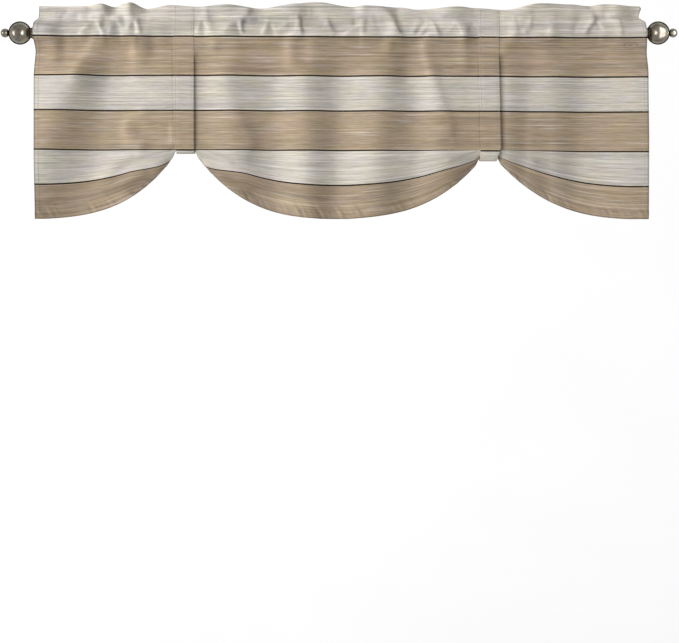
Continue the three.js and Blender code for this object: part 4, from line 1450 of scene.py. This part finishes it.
class VALANCE_OT_ties(bpy.types.Operator):
    """Make the two sewn ties that hold up the swags"""

    bl_idname = "valance.make_ties"
    bl_label = "Ties"

    def execute(self, context):
        face, _ = cloth_materials(context.scene.valance)
        for tie in TIES:
            name = f"strap_{tie.name}"
            strap = new_piece(name, cloth_mesh(name, tie_cloth(tie), face, face))
            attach(strap, "root")
            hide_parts(f"tie_{tie.name}")
        return {"FINISHED"}


def stitch_tree(material):
    """Geometry nodes that lay stitches along the lines of a mesh."""
    shape, length = "NodeSocketGeometry", "NodeSocketFloat"
    bench, given, made = node_group(
        "stitch_run", "GeometryNodeTree",
        [("Lines", shape, None), ("Spacing", length, 0.0036),
         ("Stitch length", length, 0.0028), ("Thread radius", length, 0.00035)],
        [("Stitches", shape)])
    curve = bench.add("GeometryNodeMeshToCurve", {"Mesh": given["Lines"]})
    inputs = {"Curve": curve.outputs[0], "Length": given["Spacing"]}
    steps = bench.add("GeometryNodeResampleCurve", inputs, mode="LENGTH")
    tangent = bench.add("GeometryNodeInputTangent")
    turn = bench.add("FunctionNodeAlignRotationToVector", {"Vector": tangent.outputs[0]}, axis="Z")
    ball = bench.add("GeometryNodeMeshUVSphere", {"Segments": 6, "Rings": 5, "Radius": 1.0})
    half = bench.times(given["Stitch length"], 0.5)
    size = bench.place(given["Thread radius"], given["Thread radius"], half)
    laid = bench.add("GeometryNodeInstanceOnPoints", {
        "Points": steps.outputs[0], "Instance": ball.outputs[0], "Rotation": turn.outputs[0], "Scale": size})
    real = bench.add("GeometryNodeRealizeInstances", {0: laid.outputs[0]})
    smooth = bench.add("GeometryNodeSetShadeSmooth", {0: real.outputs[0]})
    painted = bench.add("GeometryNodeSetMaterial", {"Geometry": smooth.outputs[0], "Material": material})
    bench.feed(made["Stitches"], painted.outputs[0])
    return bench.tree


class VALANCE_OT_stitching(bpy.types.Operator):
    """Sew the hems, the pocket, the header and the ties' edges"""

    bl_idname = "valance.make_stitching"
    bl_label = "Stitching"

    def execute(self, context):
        settings = context.scene.valance
        points, edges = [], []
        for line in stitch_lines():
            first = len(points)
            points.extend(line.tolist())
            edges.extend((i, i + 1) for i in range(first, len(points) - 1))
        lines = bpy.data.meshes.new("stitch_lines")
        lines.from_pydata(points, edges, [])
        guide = new_piece("stitch_lines", lines)
        tree = stitch_tree(thread_material(settings))
        sewing = guide.modifiers.new("stitches", "NODES")
        sewing.node_group = tree
        sizes = {
            "Spacing": settings.stitch_spacing,
            "Stitch length": settings.stitch_length,
            "Thread radius": settings.thread_radius,
        }
        for item in tree.interface.items_tree:
            if item.in_out == "INPUT" and item.name in sizes:
                sewing[item.identifier] = sizes[item.name]
        shape = bpy.data.meshes.new_from_object(guide.evaluated_get(context.evaluated_depsgraph_get()))
        bpy.data.objects.remove(guide)
        if not shape.polygons:
            raise RuntimeError("the stitch lines gave no stitches")
        shape.name = "stitching"
        stitches = new_piece("stitching", shape)
        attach(stitches, "root")
        return {"FINISHED"}


class VALANCE_OT_rod(bpy.types.Operator):
    """Make the rod with its collars and ball finials"""

    bl_idname = "valance.make_rod"
    bl_label = "Rod and finials"

    def execute(self, context):
        settings = context.scene.valance
        polish, patina = settings.pewter_polish, settings.pewter_patina
        steel = metal_material("plated_rod", settings.rod_steel, patina, ROD_PATINA)
        pewter = metal_material("rubbed_pewter", polish, patina, PEWTER_PATINA, PEWTER_GROOVES)
        pieces = [("curtain_rod", "rod", "rod_steel", turned_mesh("curtain_rod", rod_profile(), 1, steel))]
        for end, side in (("left", -1), ("right", 1)):
            for part, profile in (("collar", collar_profile()), ("finial", finial_profile())):
                name = f"turned_{part}_{end}"
                mesh = turned_mesh(name, profile, side, pewter)
                pieces.append((name, f"{part}_{end}", "antique_pewter", mesh))
        for name, node, slot, mesh in pieces:
            piece = new_piece(name, mesh)
            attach(piece, "root")
            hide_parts(node)
        return {"FINISHED"}


# Stage

def sweep_mesh(floor, material):
    """Pale floor that curves up into a wall far behind the object."""
    bend = np.linspace(0, np.pi / 2, SWEEP_BEND_STEPS)
    section = [(SWEEP_FRONT, floor)]
    for angle in bend:
        y = SWEEP_BEND_START + SWEEP_BEND_RADIUS * math.sin(angle)
        section.append((y, floor + SWEEP_BEND_RADIUS * (1 - math.cos(angle))))
    section.append((SWEEP_BEND_START + SWEEP_BEND_RADIUS, SWEEP_TOP))
    vertices = [(x, y, z) for y, z in section for x in (-SWEEP_HALF_WIDTH, SWEEP_HALF_WIDTH)]
    faces = [(2 * i, 2 * i + 1, 2 * i + 3, 2 * i + 2) for i in range(len(section) - 1)]
    mesh = bpy.data.meshes.new("pale_sweep")
    mesh.from_pydata(vertices, [], faces)
    mesh.materials.append(material)
    mesh.shade_smooth()
    return mesh


def studio_world(fill):
    """Even fill light, white where the camera looks past the floor and dim where metal mirrors it."""
    world = bpy.data.worlds.new("studio")
    world.use_nodes = True
    bench = Bench(world.node_tree)
    background = world.node_tree.nodes["Background"]
    background.inputs["Color"].default_value = (1, 1, 1, 1)
    path = bench.add("ShaderNodeLightPath")
    seen = bench.times_plus(path.outputs["Is Camera Ray"], 1 - fill, fill)
    mirrored = bench.times_plus(path.outputs["Is Glossy Ray"], MIRRORED_STUDIO - fill, seen)
    bench.feed(background.inputs["Strength"], mirrored)
    return world


def soft_light(name, place, aim, size, power):
    """Rectangle of soft light turned towards a point."""
    light = bpy.data.lights.new(name, "AREA")
    light.shape = "RECTANGLE"
    light.size, light.size_y = size
    light.energy = power
    box = bpy.data.objects.new(name, light)
    bpy.context.scene.collection.objects.link(box)
    box.location = place
    towards = aim - box.location
    box.rotation_mode = "QUATERNION"
    box.rotation_quaternion = towards.to_track_quat("-Z", "Y")
    box.visible_camera = False
    return box


class VALANCE_OT_stage(bpy.types.Operator):
    """Make the floor and backdrop, the lights and the camera"""

    bl_idname = "valance.make_stage"
    bl_label = "Stage"

    def execute(self, context):
        stage = context.scene.valance_stage
        paper = backdrop_material(stage.backdrop_glow)
        sweep = new_piece("pale_sweep", sweep_mesh(-stage.floor_drop, paper))
        sweep.visible_glossy = False
        sweep.visible_diffuse = False

        centre = (PANEL_LOW + PANEL_HIGH) / 2
        level = stage.key_distance * math.cos(stage.key_rise)
        key_place = (
            -level * math.sin(stage.key_turn),
            -level * math.cos(stage.key_turn),
            stage.key_distance * math.sin(stage.key_rise),
        )
        power = stage.key_strength * math.pi * stage.key_distance**2
        key = soft_light("key", key_place, centre, (stage.key_size, stage.key_size), power)
        key.visible_glossy = False
        for box in SOFTBOXES:
            straight_back = Vector((box.place[0], 0, box.place[2]))
            soft_light(box.name, box.place, straight_back, box.size, box.power).visible_diffuse = False
        context.scene.world = studio_world(stage.fill_strength)

        lens = bpy.data.cameras.new("front_view")
        lens.sensor_width = SENSOR_WIDTH
        lens.lens = SENSOR_WIDTH * stage.camera_distance / FRAME_WIDTH
        camera = bpy.data.objects.new("front_view", lens)
        context.scene.collection.objects.link(camera)
        camera.location = (CAMERA_X, -stage.camera_distance, CAMERA_HEIGHT)
        camera.rotation_euler = (math.pi / 2, 0, 0)
        context.scene.camera = camera
        context.scene.view_settings.view_transform = "Standard"
        return {"FINISHED"}


class VALANCE_PT_sidebar(bpy.types.Panel):
    """Sidebar list of the valance's settings and pieces"""

    bl_label = "Tie-up valance"
    bl_idname = "VALANCE_PT_sidebar"
    bl_space_type = "VIEW_3D"
    bl_region_type = "UI"
    bl_category = "Valance"

    def draw(self, context):
        for settings in (context.scene.valance, context.scene.valance_stage):
            column = self.layout.column()
            for name in settings.bl_rna.properties.keys():
                if name not in ("rna_type", "name"):
                    column.prop(settings, name)
        for operator in OPERATORS:
            self.layout.operator(operator.bl_idname)


SETTINGS = (ValanceSettings, StageSettings)
OPERATORS = (VALANCE_OT_panel, VALANCE_OT_ties, VALANCE_OT_stitching, VALANCE_OT_rod, VALANCE_OT_stage)


def register():
    for group in (*SETTINGS, *OPERATORS, VALANCE_PT_sidebar):
        bpy.utils.register_class(group)
    bpy.types.Scene.valance = bpy.props.PointerProperty(type=ValanceSettings)
    bpy.types.Scene.valance_stage = bpy.props.PointerProperty(type=StageSettings)


def unregister():
    del bpy.types.Scene.valance_stage
    del bpy.types.Scene.valance
    for group in reversed((*SETTINGS, *OPERATORS, VALANCE_PT_sidebar)):
        bpy.utils.unregister_class(group)


def main():
    register()
    bpy.ops.valance.make_panel()
    bpy.ops.valance.make_ties()
    bpy.ops.valance.make_stitching()
    bpy.ops.valance.make_rod()
    bpy.ops.valance.make_stage()


if __name__ == "__main__":
    main()
